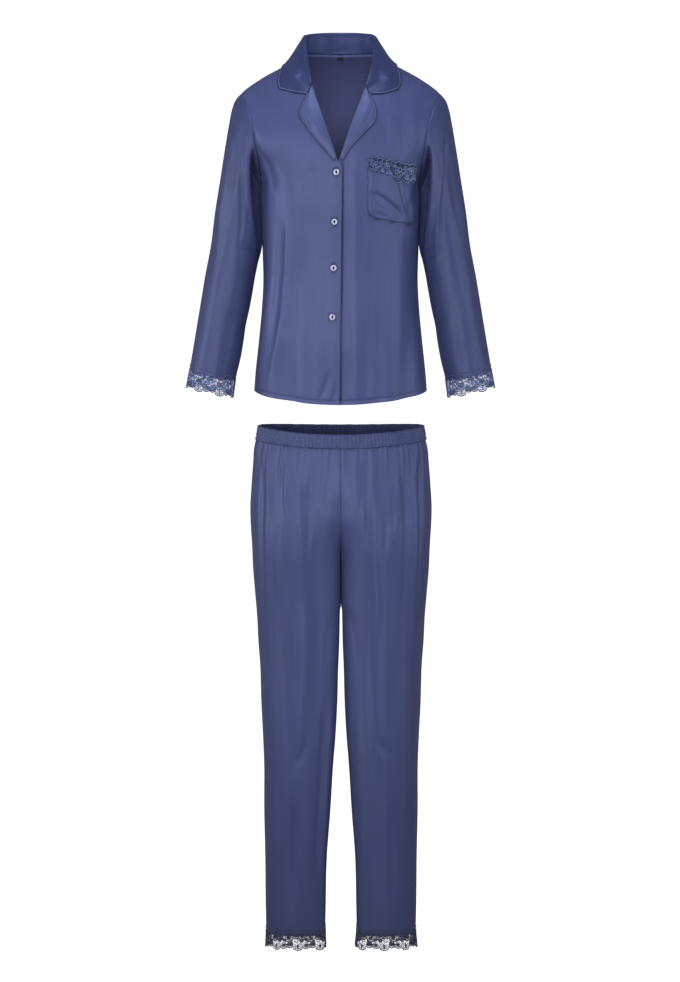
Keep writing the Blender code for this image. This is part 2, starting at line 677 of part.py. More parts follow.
def pocket():
    across = np.array(POCKET["across"])
    top = np.interp(across, POCKET_TOP["across"], POCKET_TOP["height"])
    share = np.linspace(0, 1, POCKET_ROWS + 1)[:, None]
    height = top + (np.array(POCKET["bottom"]) - top) * share
    points, normals = body_point(across + 0 * share, height, FRONT, POCKET_GAP + CLOTH)
    return wall("pocket", list(points), list(normals), CLOTH, material("pocket satin", SATIN, 0.42, 0.2))


def pocket_lace():
    count = 2 * POCKET_LACE_REPEATS
    ends = POCKET_TOP["across"]
    across = np.linspace(ends[0] + POCKET_LACE_INSET, ends[1] - POCKET_LACE_INSET, count + 1)
    top = np.interp(across, POCKET_TOP["across"], POCKET_TOP["height"]) - POCKET_LACE_INSET
    rows, normals = [], []
    for level in LACE_LEVELS:
        height = top - level * POCKET_LACE_DROP
        if level == LACE_LEVELS[-1]:
            height = height + SCALLOP * (np.arange(count + 1) % 2)
        points, normal = body_point(across, height, FRONT, POCKET_GAP + CLOTH + LAID + LACE)
        rows.append(points)
        normals.append(normal)
    cut = {(1, c) for c in range(0, count, 2)} | {(3, c) for c in range(1, count, 2)}
    return wall("pocket_lace", rows, normals, LACE, material("lace", LACE_COLOUR, 0.75, 0.3), cut=cut)


def button(index):
    profile = bpy.data.meshes.new("button profile")
    points = [(r * MM, 0, z * MM) for r, z in zip(BUTTON_PROFILE["radius"], BUTTON_PROFILE["height"])]
    profile.from_pydata(points, [(i, i + 1) for i in range(len(points) - 1)], [])
    piece = add_piece(f"button_{index + 1}", profile, material("pearl button", PEARL, 0.25))
    turn = piece.modifiers.new("turn", "SCREW")
    turn.steps = turn.render_steps = BUTTON_STEPS
    turn.use_merge_vertices = True
    turn.merge_threshold = 0.00001
    turn.use_normal_calculate = True
    place, normal = body_point(BUTTONS["across"][index], BUTTONS["height"][index], FRONT, SEAM + 0.15)
    piece.rotation_mode = "QUATERNION"
    piece.rotation_quaternion = Vector(normal).to_track_quat("Z", "X")
    piece.location = place * MM
    return piece


def size_label():
    """Small blank label that hangs from the neck seam, inside the back."""
    seam, _ = body_point(0, neck_back(0), BACK, -CLOTH)
    across = np.linspace(-LABEL_SIZE / 2, LABEL_SIZE / 2, 3)
    rows = [column_stack(across, seam[1] - SEAM, seam[2] - SEAM - drop)
            for drop in np.linspace(0, LABEL_SIZE, 3)]
    normals = [column_stack(0 * across, 1.0, 0)] * len(rows)
    return wall("size_label", rows, normals, LABEL_THICKNESS, material("label", BLACK, 0.8))


# --- Trousers ---------------------------------------------------------------------


def trouser_line(column, height):
    return smooth(TROUSERS["height"], TROUSERS[column], height)


def waist_drop(share, height, face):
    fade = 1 - ease((TROUSERS["height"][0] - height) / (TROUSERS["height"][0] - WAIST_DROP_ENDS))
    return WAIST_DROP[face] * np.sin(share * math.pi / 2) ** 2 * fade


def trouser_form(share, height, side, face):
    """Point at a share of the way from the side seam to the centre seam or inseam."""
    outer, inner = trouser_line("outer", height), trouser_line("inner", height)
    depth = trouser_line(FACE_NAMES[face], height)
    fall = np.clip((CROTCH_TOP - height) / (CROTCH_TOP - CROTCH), 0, 1)
    last_turn = (1 + fall) * math.pi / 2
    width = (outer - inner) / (1 - np.cos(last_turn))
    across = outer - width + width * np.cos(share * last_turn)
    away = depth * np.sin(share * last_turn)
    return column_stack(TROUSER_CENTRE + side * across, face * away,
                        height - waist_drop(share, height, face))


def trouser_normal(share, height, side, face):
    step = 0.01
    around = trouser_form(share + step, height, side, face) - trouser_form(share - step, height, side, face)
    along = trouser_form(share, height + 1, side, face) - trouser_form(share, height - 1, side, face)
    normal = unit(np.cross(around, along))
    return normal * (side * face)


def trouser_folds(across, height, side, face):
    table = TROUSER_FOLDS[side]
    out = 0
    for place, end, depth in zip(*table.values()):
        place = place if face == FRONT else place * 0.8
        share = np.clip((height - end) / (TROUSERS["height"][0] - end), 0, 1)
        bulge = np.exp(-(((across - place) / TROUSER_FOLD_WIDTH) ** 2))
        out = out + depth * np.sin(math.pi * share) * bulge
    return out


def gathers(columns, height):
    """Ridges and valleys below the waist, each of its own length."""
    out = np.zeros(columns + 1)
    for i in range(columns + 1):
        length = GATHER_LENGTHS[(i // 2) % len(GATHER_LENGTHS)]
        fade = max(0.0, 1 - (TROUSERS["height"][0] - height) / length)
        out[i] = GATHER_DEPTH * fade * (0.6 if i % 2 else -1)
    out[[0, -1]] = 0
    return out


def trouser_panel(side, face):
    fine, coarse = 2 * GATHERS, GATHERS
    levels = [(h, fine) for h in GATHER_HEIGHTS] + [(h, coarse) for h in LEG_HEIGHTS]
    rows, normals = [], []
    for height, columns in levels:
        share = np.linspace(0, 1, columns + 1)
        row = trouser_form(share, height, side, face)
        normal = trouser_normal(share, height, side, face)
        if height == TROUSERS["height"][0]:
            row[:, 2] -= SEAM
        out = trouser_folds(row[:, 0], height, side, face) * np.sin(share * math.pi)
        if columns == fine:
            out = out + gathers(columns, height)
        row = row + normal * out[:, None]
        row[:, 1] = face * np.maximum(face * row[:, 1], SEAM / 2)
        reach = np.maximum(side * (row[:, 0] - TROUSER_CENTRE), trouser_line("inner", height))
        row[:, 0] = TROUSER_CENTRE + side * reach
        rows.append(row)
        normals.append(normal)
    finish = material("trouser satin", SATIN, 0.45, 0.2)
    return wall(f"trouser_{FACE_NAMES[face]}_{SIDE_NAMES[side]}", rows, normals, CLOTH, finish)


def waistband():
    """Ribbed band over an elastic: raised ribs outside, plain inside."""
    count = 2 * BAND_RIBS
    turns = np.linspace(0, 2 * math.pi, count + 1)[:-1]
    seam = TROUSERS["height"][0]
    ribs = BAND_RIB_DEPTH * (np.arange(count) % 2)
    half = trouser_line("outer", seam)
    depth = np.where(np.sin(turns) > 0, trouser_line("front", seam), trouser_line("back", seam))
    drop = np.where(np.sin(turns) > 0, WAIST_DROP[FRONT], WAIST_DROP[BACK]) * np.sin(turns) ** 2
    out = unit(column_stack(depth * np.cos(turns), -half * np.sin(turns), 0))
    rows, normals = [], []
    for level in (0, 1):
        narrow = BAND_TAPER * level
        ring = column_stack(TROUSER_CENTRE + (half - narrow) * np.cos(turns),
                            -(depth - narrow) * np.sin(turns),
                            seam + level * BAND_HEIGHT - drop)
        rows.append(ring + out * ribs[:, None])
        normals.append(out * ((CLOTH + ribs) / CLOTH)[:, None])
    finish = material("waistband satin", SATIN, 0.5, 0.2)
    return wall("waistband", rows, normals, CLOTH, finish, closed=True)


def hem_lace(side, face):
    height = TROUSERS["height"][-1]
    outer, inner = float(trouser_line("outer", height)), float(trouser_line("inner", height))

    def depth(turn):
        return np.where(np.sin(turn) > 0, trouser_line("front", height), trouser_line("back", height))

    def top(turn):
        return column_stack((outer + inner) / 2 + (outer - inner) / 2 * np.cos(turn),
                            -depth(turn) * np.sin(turn), height - SEAM)

    def drop(turn):
        return column_stack(HEM_LACE_FLARE * np.cos(turn), -HEM_LACE_FLARE * np.sin(turn), -HEM_LACE_DROP)

    name = f"hem_lace_{SIDE_NAMES[side]}_{FACE_NAMES[face]}"
    centre = np.array([(outer + inner) / 2, 0, 0])
    piece = lace_half(name, top, drop, centre, face, LACE_REPEATS["hem"], [side, 1, 1])
    for vertex in piece.data.vertices:
        vertex.co.x += TROUSER_CENTRE * MM
    return piece


SET_NAME = "pyjama_set"

for old in list(bpy.data.objects):
    bpy.data.objects.remove(old, do_unlink=True)
bpy.context.scene.collection.children.link(bpy.data.collections.new(SET_NAME))

back_panel()
collar()
size_label()
pocket()
pocket_lace()
waistband()
for wearer_side in (RIGHT, LEFT):
    front_panel(wearer_side)
    sleeve(wearer_side)
    lapel(wearer_side)
    piping(wearer_side)
    for panel_face in (FRONT, BACK):
        cuff_lace(wearer_side, panel_face)
        trouser_panel(wearer_side, panel_face)
        hem_lace(wearer_side, panel_face)
for number in range(len(BUTTONS["across"])):
    button(number)
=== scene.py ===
import math

import bmesh
import bpy
import numpy as np
from mathutils import Matrix, Vector


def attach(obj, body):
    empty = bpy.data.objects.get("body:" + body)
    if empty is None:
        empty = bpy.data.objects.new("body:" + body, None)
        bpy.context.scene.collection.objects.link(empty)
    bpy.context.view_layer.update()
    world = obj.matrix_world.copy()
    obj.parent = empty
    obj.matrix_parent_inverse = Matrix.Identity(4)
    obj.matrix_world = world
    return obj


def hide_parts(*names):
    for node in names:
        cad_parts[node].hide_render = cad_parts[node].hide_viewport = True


# Pyjama set of satin and lace: a button-front top and pull-on trousers, both filled out
# with no wearer in them. Sizes are in millimetres, with X to the wearer's left, -Y to
# the front and Z up from the neck; MM turns them into metres when a mesh is made.
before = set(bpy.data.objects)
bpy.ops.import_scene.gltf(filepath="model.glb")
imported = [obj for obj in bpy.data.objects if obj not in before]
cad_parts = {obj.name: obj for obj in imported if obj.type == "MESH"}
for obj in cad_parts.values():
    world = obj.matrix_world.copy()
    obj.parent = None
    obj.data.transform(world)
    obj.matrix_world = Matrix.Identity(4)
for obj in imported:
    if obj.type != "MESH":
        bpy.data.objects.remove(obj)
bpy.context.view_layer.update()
MM = 0.001

# --- Camera -----------------------------------------------------------------------
# A 300 mm lens far in front of the set and five degrees above it, so that the top and
# the trousers are both seen square on, as in a catalogue.
SIGHT = Vector((-0.00095, 0.0, -0.832))
SIGHT_DISTANCE = 15.5
SIGHT_RISE = math.radians(5)
bpy.ops.object.camera_add(
    location=SIGHT + SIGHT_DISTANCE * Vector((0, -math.cos(SIGHT_RISE), math.sin(SIGHT_RISE))),
    rotation=(math.pi / 2 - SIGHT_RISE, 0, 0),
)
camera = bpy.context.object
camera.name = "catalogue_camera"
camera.data.lens = 299.07
camera.data.clip_end = 500
bpy.context.scene.camera = camera
bpy.context.scene.view_settings.view_transform = "Standard"

# --- Studio -----------------------------------------------------------------------
# A white floor and a white surround that only the camera sees, a dim even sky, and soft
# boxes: a large one at the front left, one at the front right and one overhead.


def white_board(obj, name):
    obj.name = name
    board = bpy.data.materials.new(name)
    board.use_nodes = True
    shader = board.node_tree.nodes["Principled BSDF"]
    shader.inputs["Base Color"].default_value = (0.9, 0.9, 0.9, 1)
    shader.inputs["Emission Color"].default_value = (1, 1, 1, 1)
    shader.inputs["Emission Strength"].default_value = 1.0
    obj.data.materials.append(board)
    obj.visible_diffuse = False
    obj.visible_glossy = False
    obj.visible_shadow = False


def soft_box(name, place, aim, width, height, power, spread):
    bpy.ops.object.light_add(type="AREA", location=place)
    light = bpy.context.object
    light.name = name
    light.data.shape = "RECTANGLE"
    light.data.size = width
    light.data.size_y = height
    light.data.energy = power
    light.data.spread = math.radians(spread)
    light.rotation_euler = (Vector(aim) - Vector(place)).to_track_quat("-Z", "Y").to_euler()


bpy.ops.mesh.primitive_plane_add(size=110, location=(0, 0, -1.80))
white_board(bpy.context.object, "studio_floor")
bpy.ops.mesh.primitive_uv_sphere_add(segments=48, ring_count=24, radius=52)
white_board(bpy.context.object, "studio_surround")

sky = bpy.data.worlds.new("studio_sky")
bpy.context.scene.world = sky
sky.use_nodes = True
sky.node_tree.nodes["Background"].inputs["Color"].default_value = (0.93, 0.95, 1.0, 1)
sky.node_tree.nodes["Background"].inputs["Strength"].default_value = 0.13
soft_box("front_light", (-0.4, -3.7, -0.40), (0, 0, -0.55), 1.4, 1.4, 7.2, 80)
soft_box("key_light", (-1.9, -2.5, -0.2), (0, 0, -0.45), 1.4, 1.6, 6.6, 100)
soft_box("fill_light", (2.4, -2.2, -0.2), (0, 0, -0.5), 1.4, 1.6, 5.8, 100)
soft_box("left_edge_light", (-2.6, -0.5, -0.4), (0, 0, -0.4), 0.8, 1.6, 6.5, 100)
soft_box("right_edge_light", (2.6, -0.5, -0.5), (0, 0, -0.5), 0.8, 1.6, 3, 100)
soft_box("top_light", (0, -1.2, 2.0), (0, 0, -0.1), 1.6, 1.0, 7.5, 90)
bpy.context.object.data.color = (0.78, 0.87, 1.0)
soft_box("low_light", (0.1, -3.2, -1.15), (0, 0, -1.12), 0.6, 0.3, 0.32, 24)
soft_box("inside_light", (0, -0.01, -0.15), (0, 0.12, -0.10), 0.10, 0.10, 0.11, 170)

# --- Back of the top --------------------------------------------------------------
# One panel of slate blue satin from the hem to the back of the neck, shiny outside and
# dull inside. Its seam allowances are turned in at the sides, armholes and shoulders.
RIGHT, LEFT = -1, 1
FRONT, BACK = -1, 1
SIDE_NAMES = {RIGHT: "right", LEFT: "left"}
SEAM = 0.3
SATIN_THICKNESS = 0.5
ROUNDNESS = 2.3
BODY = {
    "height": (-655, -606, -545, -485, -424, -393, -330, -280, -245, -218, -165, -112, -55, 10),
    "half_width": (165, 161.3, 154.9, 149.2, 146.4, 147.2, 149.4, 151.2, 152, 162, 190, 214, 224, 230),
    "front": (114, 117, 121, 121, 119, 119, 122, 125, 125, 123, 118, 107, 95, 84),
    "back": (106, 108, 108, 103, 99, 99, 103, 107, 110, 112, 115, 117, 117, 114),
}
SHOULDER = {
    "across": (0, 40, 71, 106, 148, 187, 205),
    "height": (4, 2, -4, -25, -48, -76, -94),
}
SHOULDER_ROLL = {FRONT: 150, BACK: 90}
NECK_HALF = 71
ARMHOLE = {
    "across": (152, 151, 152.5, 156.5, 161, 164.5, 171, 178.5, 187),
    "height": (-245, -236, -217, -192, -164, -138, -115, -94, -76),
}
BACK_NECK_TURN = 27
HEM_DROP = 15.0
# Flutes of the body: across, start, depth and width. They grow down to the hem.
FLUTES = (
    (-126, -330, 3.5, 20), (-92, -420, -4.5, 18), (-58, -300, 4.0, 20),
    (62, -360, -3.5, 22), (96, -330, 4.5, 18), (128, -300, -3.5, 18),
)
# Creases of the top: path across and down, height (a trough is minus) and half width.
TOP_CREASES = {
    FRONT: (
        (((-97, -262), (-100, -404), (-106, -480), (-114, -540), (-129, -610), (-138, -652)), 7.4, 10),
        (((-117, -290), (-118, -404), (-124, -480), (-134, -560)), -4.2, 9),
        (((-140, -400), (-147, -520), (-156, -650)), 3.6, 11),
        (((-84, -330), (-88, -450), (-86, -590)), -3.4, 13),
        (((-160, -165), (-138, -215), (-122, -270)), -4.1, 9),
        (((-166, -120), (-148, -175), (-128, -212)), 3.1, 10),
        (((-56, -170), (-50, -260), (-58, -380)), -1.9, 16),
        (((122, -325), (137, -410), (150, -540)), -5.4, 13),
        (((100, -330), (106, -430), (108, -600)), 3.7, 14),
        (((116, -110), (119, -150), (118, -196)), -3.4, 7),
        (((92, -105), (96, -150), (99, -190)), 2.5, 8),
        (((138, -100), (137, -150), (134, -200)), 2.7, 7),
        (((6, -450), (8, -500), (7, -560)), -2.0, 6),
        (((-20, -494), (-38, -482), (-60, -470)), -1.5, 6),
        (((-18, -590), (-28, -620), (-42, -660)), -1.9, 6),
        (((-8, -610), (-12, -640), (-22, -665)), -1.5, 5),
        (((24, -196), (44, -250), (50, -330)), -1.5, 12),
        (((150, -225), (140, -262), (130, -300)), -3.7, 9),
        (((-30, -215), (-60, -222), (-96, -240)), -1.4, 12),
        (((60, -560), (64, -610), (58, -670)), 2.4, 11),
    ),
    BACK: (
        (((-64, -300), (-70, -450), (-78, -680)), 3.0, 18),
        (((-30, -330), (-34, -500), (-40, -680)), -2.6, 16),
        (((8, -300), (6, -470), (0, -680)), 2.4, 17),
        (((44, -320), (48, -470), (52, -680)), -2.8, 15),
        (((86, -290), (92, -450), (100, -680)), 3.0, 17),
        (((-165, -150), (-110, -200), (-60, -216)), -1.8, 10),
        (((165, -155), (112, -206), (58, -214)), -1.8, 10),
        (((-140, -210), (-120, -290), (-112, -380)), -2.2, 11),
        (((140, -215), (122, -300), (116, -400)), -2.2, 11),
    ),
}


def smooth(at, values, x):
    """Cubic curve through a table's rows, flat beyond its ends."""
    at, values = np.asarray(at, float), np.asarray(values, float)
    if at[0] > at[-1]:
        at, values = at[::-1], values[::-1]
    slope = np.gradient(values, at)
    x = np.clip(np.asarray(x, float), at[0], at[-1])
    i = np.clip(np.searchsorted(at, x) - 1, 0, len(at) - 2)
    step = at[i + 1] - at[i]
    t = (x - at[i]) / step
    rise = values[i + 1] - values[i]
    a = slope[i] * step - rise
    b = rise - slope[i + 1] * step
    return values[i] + t * rise + t * (1 - t) * ((1 - t) * a + t * b)


def unit(vectors):
    return vectors / np.maximum(np.linalg.norm(vectors, axis=-1, keepdims=True), 1e-9)


def ease(x):
    x = np.clip(x, 0, 1)
    return x * x * (3 - 2 * x)


def columns_of(*columns):
    return np.stack(np.broadcast_arrays(*columns), axis=-1)


def squared_depth(across, height, face):
    """Square of the body's depth in front of or behind the shoulder line."""
    half = smooth(BODY["height"], BODY["half_width"], height)
    depth = smooth(BODY["height"], BODY["front" if face == FRONT else "back"], height)
    left = 1 - (np.abs(across) / half) ** ROUNDNESS
    section = np.sign(left) * np.abs(left) ** (2 / ROUNDNESS)
    drop = smooth(SHOULDER["across"], SHOULDER["height"], np.abs(across)) - height
    drop = np.minimum(drop / SHOULDER_ROLL[face], 1)
    return depth ** 2 * section * (2 * drop - drop * drop)


def body_normal(across, depth, height, face):
    step = 0.5
    slope_across = squared_depth(across + step, height, face) - squared_depth(across - step, height, face)
    slope_height = squared_depth(across, height + step, face) - squared_depth(across, height - step, face)
    parts = (-slope_across / (2 * step), 2 * depth, -slope_height / (2 * step))
    return unit(columns_of(*parts))


def creased(across, down, creases):
    """Height of soft creases: each fades at its ends and is steeper on one side."""
    across, down = np.broadcast_arrays(np.asarray(across, float), np.asarray(down, float))
    out = np.zeros(across.shape)
    for path, height, width in creases:
        path = np.asarray(path, float)
        legs = np.diff(path, axis=0)
        lengths = np.linalg.norm(legs, axis=1)
        starts = np.concatenate([[0], np.cumsum(lengths)])
        nearest = np.full(across.shape, 1e9)
        along = np.zeros(across.shape)
        beside = np.zeros(across.shape)
        for start, leg, length, passed in zip(path, legs, lengths, starts):
            ahead = ((across - start[0]) * leg[0] + (down - start[1]) * leg[1]) / length ** 2
            ahead = np.clip(ahead, 0, 1)
            off_x = across - start[0] - ahead * leg[0]
            off_z = down - start[1] - ahead * leg[1]
            distance = np.hypot(off_x, off_z)
            closer = distance < nearest
            nearest = np.where(closer, distance, nearest)
            along = np.where(closer, (passed + ahead * length) / starts[-1], along)
            beside = np.where(closer, off_x * leg[1] - off_z * leg[0], beside)
        fade = ease(along / 0.35) * ease((1 - along) / 0.35)
        steep = np.where(beside > 0, 0.75, 1.3)
        out = out + height * fade * np.exp(-((nearest / (width * steep)) ** 2))
    return out


def body_point(across, height, face, out=0.0):
    """Points of the body's cloth with its flutes and creases, moved out, and their normals."""
    across, height = np.broadcast_arrays(np.asarray(across, float), np.asarray(height, float))
    depth = face * np.maximum(np.sqrt(np.maximum(squared_depth(across, height, face), 0)), SEAM / 2)
    normal = body_normal(across, depth, height, face)
    folds = creased(across, height, TOP_CREASES[face])
    for place, start, rise, width in FLUTES:
        share = ease((start - height) / (start - BODY["height"][0]))
        folds = folds + rise * share * np.exp(-(((across - place) / width) ** 2))
    folds = folds - 0.8 * np.exp(-(((height - hem_line(across) - 7.5) / 2.2) ** 2))
    out = np.asarray(out + folds * ease((np.abs(depth) - 15) / 40))
    return columns_of(across, depth, height) + normal * out[..., None], normal


def satin(name, colour, roughness, mottle=0.06, sheen=0.06, with_painted_shade=False):
    """Satin: soft blue sheen, long faint ripples that run down the cloth and a fine rib."""
    made = bpy.data.materials.new(name)
    made.use_nodes = True
    nodes, links = made.node_tree.nodes, made.node_tree.links
    shader = nodes["Principled BSDF"]
    place = nodes.new("ShaderNodeTexCoord")
    drawn = nodes.new("ShaderNodeMapping")
    drawn.inputs["Scale"].default_value = (40, 40, 3.6)
    links.new(place.outputs["Object"], drawn.inputs["Vector"])
    cloud = nodes.new("ShaderNodeTexNoise")
    cloud.inputs["Scale"].default_value = 1.0
    cloud.inputs["Detail"].default_value = 3
    links.new(drawn.outputs["Vector"], cloud.inputs["Vector"])
    tone = nodes.new("ShaderNodeValToRGB")
    tone.color_ramp.elements[0].position = 0.3
    tone.color_ramp.elements[1].position = 0.7
    tone.color_ramp.elements[0].color = (*(c * (1 - mottle) for c in colour), 1)
    tone.color_ramp.elements[1].color = (*(c * (1 + mottle) for c in colour), 1)
    links.new(cloud.outputs["Fac"], tone.inputs["Fac"])
    links.new(tone.outputs["Color"], shader.inputs["Base Color"])
    # With painted shade, the colour is multiplied by the mesh's shade attribute, which is painted shade beside
    # edges that lie over the cloth.
    if with_painted_shade:
        near = nodes.new("ShaderNodeAttribute")
        near.attribute_name = "shade"
        darker = nodes.new("ShaderNodeVectorMath")
        darker.operation = "MULTIPLY"
        links.new(tone.outputs["Color"], darker.inputs[0])
        links.new(near.outputs["Color"], darker.inputs[1])
        links.new(darker.outputs["Vector"], shader.inputs["Base Color"])
    shine = nodes.new("ShaderNodeMapRange")
    shine.inputs["To Min"].default_value = roughness - 0.04
    shine.inputs["To Max"].default_value = roughness + 0.04
    links.new(cloud.outputs["Fac"], shine.inputs["Value"])
    links.new(shine.outputs["Result"], shader.inputs["Roughness"])
    ripple = nodes.new("ShaderNodeBump")
    ripple.name = "ripple"
    ripple.inputs["Strength"].default_value = 0.6
    ripple.inputs["Distance"].default_value = 0.0022
    links.new(cloud.outputs["Fac"], ripple.inputs["Height"])
    threads = nodes.new("ShaderNodeTexWave")
    threads.bands_direction = "Y"
    threads.inputs["Scale"].default_value = 900
    threads.inputs["Distortion"].default_value = 0.6
    links.new(place.outputs["UV"], threads.inputs["Vector"])
    weave = nodes.new("ShaderNodeBump")
    weave.name = "weave"
    weave.inputs["Strength"].default_value = 0.08
    weave.inputs["Distance"].default_value = 0.0002
    links.new(threads.outputs["Fac"], weave.inputs["Height"])
    links.new(ripple.outputs["Normal"], weave.inputs["Normal"])
    links.new(weave.outputs["Normal"], shader.inputs["Normal"])
    shader.inputs["Specular IOR Level"].default_value = 0.58
    shader.inputs["Specular Tint"].default_value = (0.55, 0.62, 1.0, 1)
    shader.inputs["Sheen Weight"].default_value = sheen
    shader.inputs["Sheen Roughness"].default_value = 0.5
    shader.inputs["Sheen Tint"].default_value = (0.6, 0.68, 1.0, 1)
    made.diffuse_color = (*colour, 1)
    return made


def cloth(name, grid, facing, finishes, closed=False, thickness=SATIN_THICKNESS):
    """Thin wall from a grid of outer points: faces outside, inside and round the edges."""
    rows, count = grid.shape[:2]
    side = np.roll(grid, -1, 1) - np.roll(grid, 1, 1) if closed else np.gradient(grid, axis=1)
    normal = unit(np.cross(side, np.gradient(grid, axis=0)))
    outward = np.sum(normal * facing) > 0
    normal = normal if outward else -normal
    inner = grid - normal * thickness
    total = rows * count
    index = np.arange(total).reshape(rows, count)
    right = np.roll(index, -1, 1) if closed else index[:, 1:]
    left = index if closed else index[:, :-1]
    quads = np.stack([left[:-1], right[:-1], right[1:], left[1:]], axis=-1).reshape(-1, 4)
    rims = [np.stack([left[0], right[0]], -1), np.stack([right[-1], left[-1]], -1)]
    if not closed:
        rims += [np.stack([index[:-1, -1], index[1:, -1]], -1), np.stack([index[1:, 0], index[:-1, 0]], -1)]
    rims = np.concatenate(rims)
    rims = np.stack([rims[:, 1], rims[:, 0], rims[:, 0] + total, rims[:, 1] + total], -1)
    if not outward:
        quads, rims = quads[:, ::-1], rims[:, ::-1]
    faces = np.concatenate([quads, quads[:, ::-1] + total, rims])
    mesh = bpy.data.meshes.new(name)
    points = np.concatenate([grid.reshape(-1, 3), inner.reshape(-1, 3)]) * MM
    mesh.from_pydata(points.tolist(), [], faces.tolist())
    edge = np.linalg.norm(np.diff(grid, axis=1), axis=-1)
    wide = np.concatenate([np.zeros((rows, 1)), np.cumsum(edge, 1)], 1)
    edge = np.linalg.norm(np.diff(grid, axis=0), axis=-1)
    long = np.concatenate([np.zeros((1, count)), np.cumsum(edge, 0)], 0)
    cut = np.stack([wide, long], -1).reshape(-1, 2)
    cut = np.concatenate([cut, cut])[faces.reshape(-1)] * MM
    if closed:
        span = cut[:, 0].reshape(-1, 4)
        around = wide[:, -1].mean() * MM
        span[(span.max(1) - span.min(1) > around / 2)[:, None] & (span < around / 4)] += around
        cut[:, 0] = span.reshape(-1)
    mesh.uv_layers.new(name="cut").data.foreach_set("uv", cut.reshape(-1))
    for finish in finishes:
        mesh.materials.append(finish)
    mesh.polygons.foreach_set("material_index", np.repeat([0, 1, 0], [len(quads), len(quads), len(rims)]))
    mesh.polygons.foreach_set("use_smooth", np.ones(len(faces), bool))
    mesh.update()
    piece = bpy.data.objects.new(name, mesh)
    bpy.context.collection.objects.link(piece)
    return piece


def turned_in(grid, facing, edges, depth=5.0):
    """Adds a seam allowance, turned to the inside, at the named edges of a panel."""
    for edge in edges:
        axis, end = {"first": (1, 0), "last": (1, -1), "top": (0, -1), "bottom": (0, 0)}[edge]
        line, away = np.take(grid, [end], axis), np.take(facing, [end], axis)
        flap = [line - away * d for d in (0.5, depth)]
        flap = flap[::-1] if end == 0 else flap
        before = flap if end == 0 else []
        after = [] if end == 0 else flap
        grid = np.concatenate([*before, grid, *after], axis)
        edging = [away] * 2
        facing = np.concatenate([*(edging if end == 0 else []), facing, *([] if end == 0 else edging)], axis)
    return grid, facing


def seam_roll(grid, facing, edge, depth=0.7, width=2.6):
    """Lets the cloth dip towards a seam."""
    axis, end = {"first": (1, 0), "last": (1, -1), "top": (0, -1), "bottom": (0, 0)}[edge]
    step = np.linalg.norm(np.diff(grid, axis=axis), axis=-1)
    if end == -1:
        step = np.flip(step, axis)
    far = np.cumsum(step, axis)
    far = np.concatenate([np.zeros_like(np.take(far, [0], axis)), far], axis)
    if end == -1:
        far = np.flip(far, axis)
    return grid - facing * (depth * np.exp(-((far / width) ** 2)))[..., None]


def upper_climb(rows):
    return 1 - (1 - np.linspace(0, 1, rows + 1)) ** 1.8


def coons(bottom, top, side, centre):
    """Grid of (across, height) pairs between four edges."""
    w = upper_climb(len(side) - 1)[:, None, None]
    c = np.linspace(0, 1, len(bottom))[None, :, None]
    corners = (1 - w) * ((1 - c) * bottom[0] + c * bottom[-1]) + w * ((1 - c) * top[0] + c * top[-1])
    return (1 - w) * bottom + w * top + (1 - c) * side[:, None] + c * centre[:, None] - corners


def hem_line(across):
    """Height of the top's hem, which curves down to the middle and turns up at the sides."""
    out = np.minimum(np.abs(across) / 164, 1)
    return -644.9 + 6 * out ** 14 - HEM_DROP * (1 - out ** 2) ** 1.45


def panel_rows(top, centre, inner_hem, columns, lower, upper):
    """(across, height) grid of half a panel from the hem up, denser near the side seam."""
    turn = np.linspace(0, math.pi / 2, columns + 1)
    share = 0.5 * np.cos(turn) + 0.25 * (1 + np.cos(2 * turn))
    rows = []
    for level in np.linspace(0, 1, lower + 1)[:-1] ** 1.3:
        height = -650 + level * (650 + ARMHOLE["height"][0])
        half = BODY["half_width"][0]
        for _ in range(4):
            side_height = height + (1 - level) ** 3 * (hem_line(half) - height)
            half = smooth(BODY["height"], BODY["half_width"], side_height)
        inner = inner_hem + (centre[0][0] - inner_hem) * level
        across = inner + (half - inner) * share
        hem = hem_line(across)
        rows.append(columns_of(across, height + (1 - level) ** 3 * (hem - height)))
    steps = np.linspace(0, 1, len(ARMHOLE["across"]))
    climb = upper_climb(upper)
    side = columns_of(smooth(steps, ARMHOLE["across"], climb), smooth(steps, ARMHOLE["height"], climb))
    bottom = columns_of(centre[0][0] + (side[0][0] - centre[0][0]) * share, side[0][1])
    return np.array(rows + list(coons(bottom, top, side, centre)))


def neck_back(across):
    """Height of the back neck seam."""
    turn = np.radians(BACK_NECK_TURN) * np.sqrt(np.clip(1 - (across / NECK_HALF) ** 2, 0, 1))
    ridge = smooth(SHOULDER["across"], SHOULDER["height"], np.abs(across))
    return ridge - SHOULDER_ROLL[BACK] * (1 - np.cos(turn))


TOP_BLUE = (0.074, 0.090, 0.228)
top_satin = satin("top satin", TOP_BLUE, 0.43)
satin_inside = satin("satin, dull side", (0.046, 0.055, 0.148), 0.7, sheen=0.02)
LOWER_ROWS, UPPER_ROWS = 84, 64


def back_grid():
    seam = np.linspace(ARMHOLE["across"][-1], NECK_HALF, 26)
    neck = NECK_HALF * np.cos(np.linspace(0, math.pi / 2, 16)[1:])
    height = smooth(SHOULDER["across"], SHOULDER["height"], seam)
    top = columns_of(np.append(seam, neck), np.append(height, neck_back(neck)))
    climb = upper_climb(UPPER_ROWS)
    centre = columns_of(0 * climb, ARMHOLE["height"][0] + climb * (top[-1][1] - ARMHOLE["height"][0]))
    half = panel_rows(top, centre, 0, 40, LOWER_ROWS, UPPER_ROWS)
    whole = np.concatenate([half * [RIGHT, 1], half[:, -2::-1]], axis=1)
    grid, facing = body_point(whole[..., 0], whole[..., 1], BACK)
    for edge in ("first", "last"):
        grid = seam_roll(grid, facing, edge)
    return turned_in(grid, facing, ("first", "last", "top"))
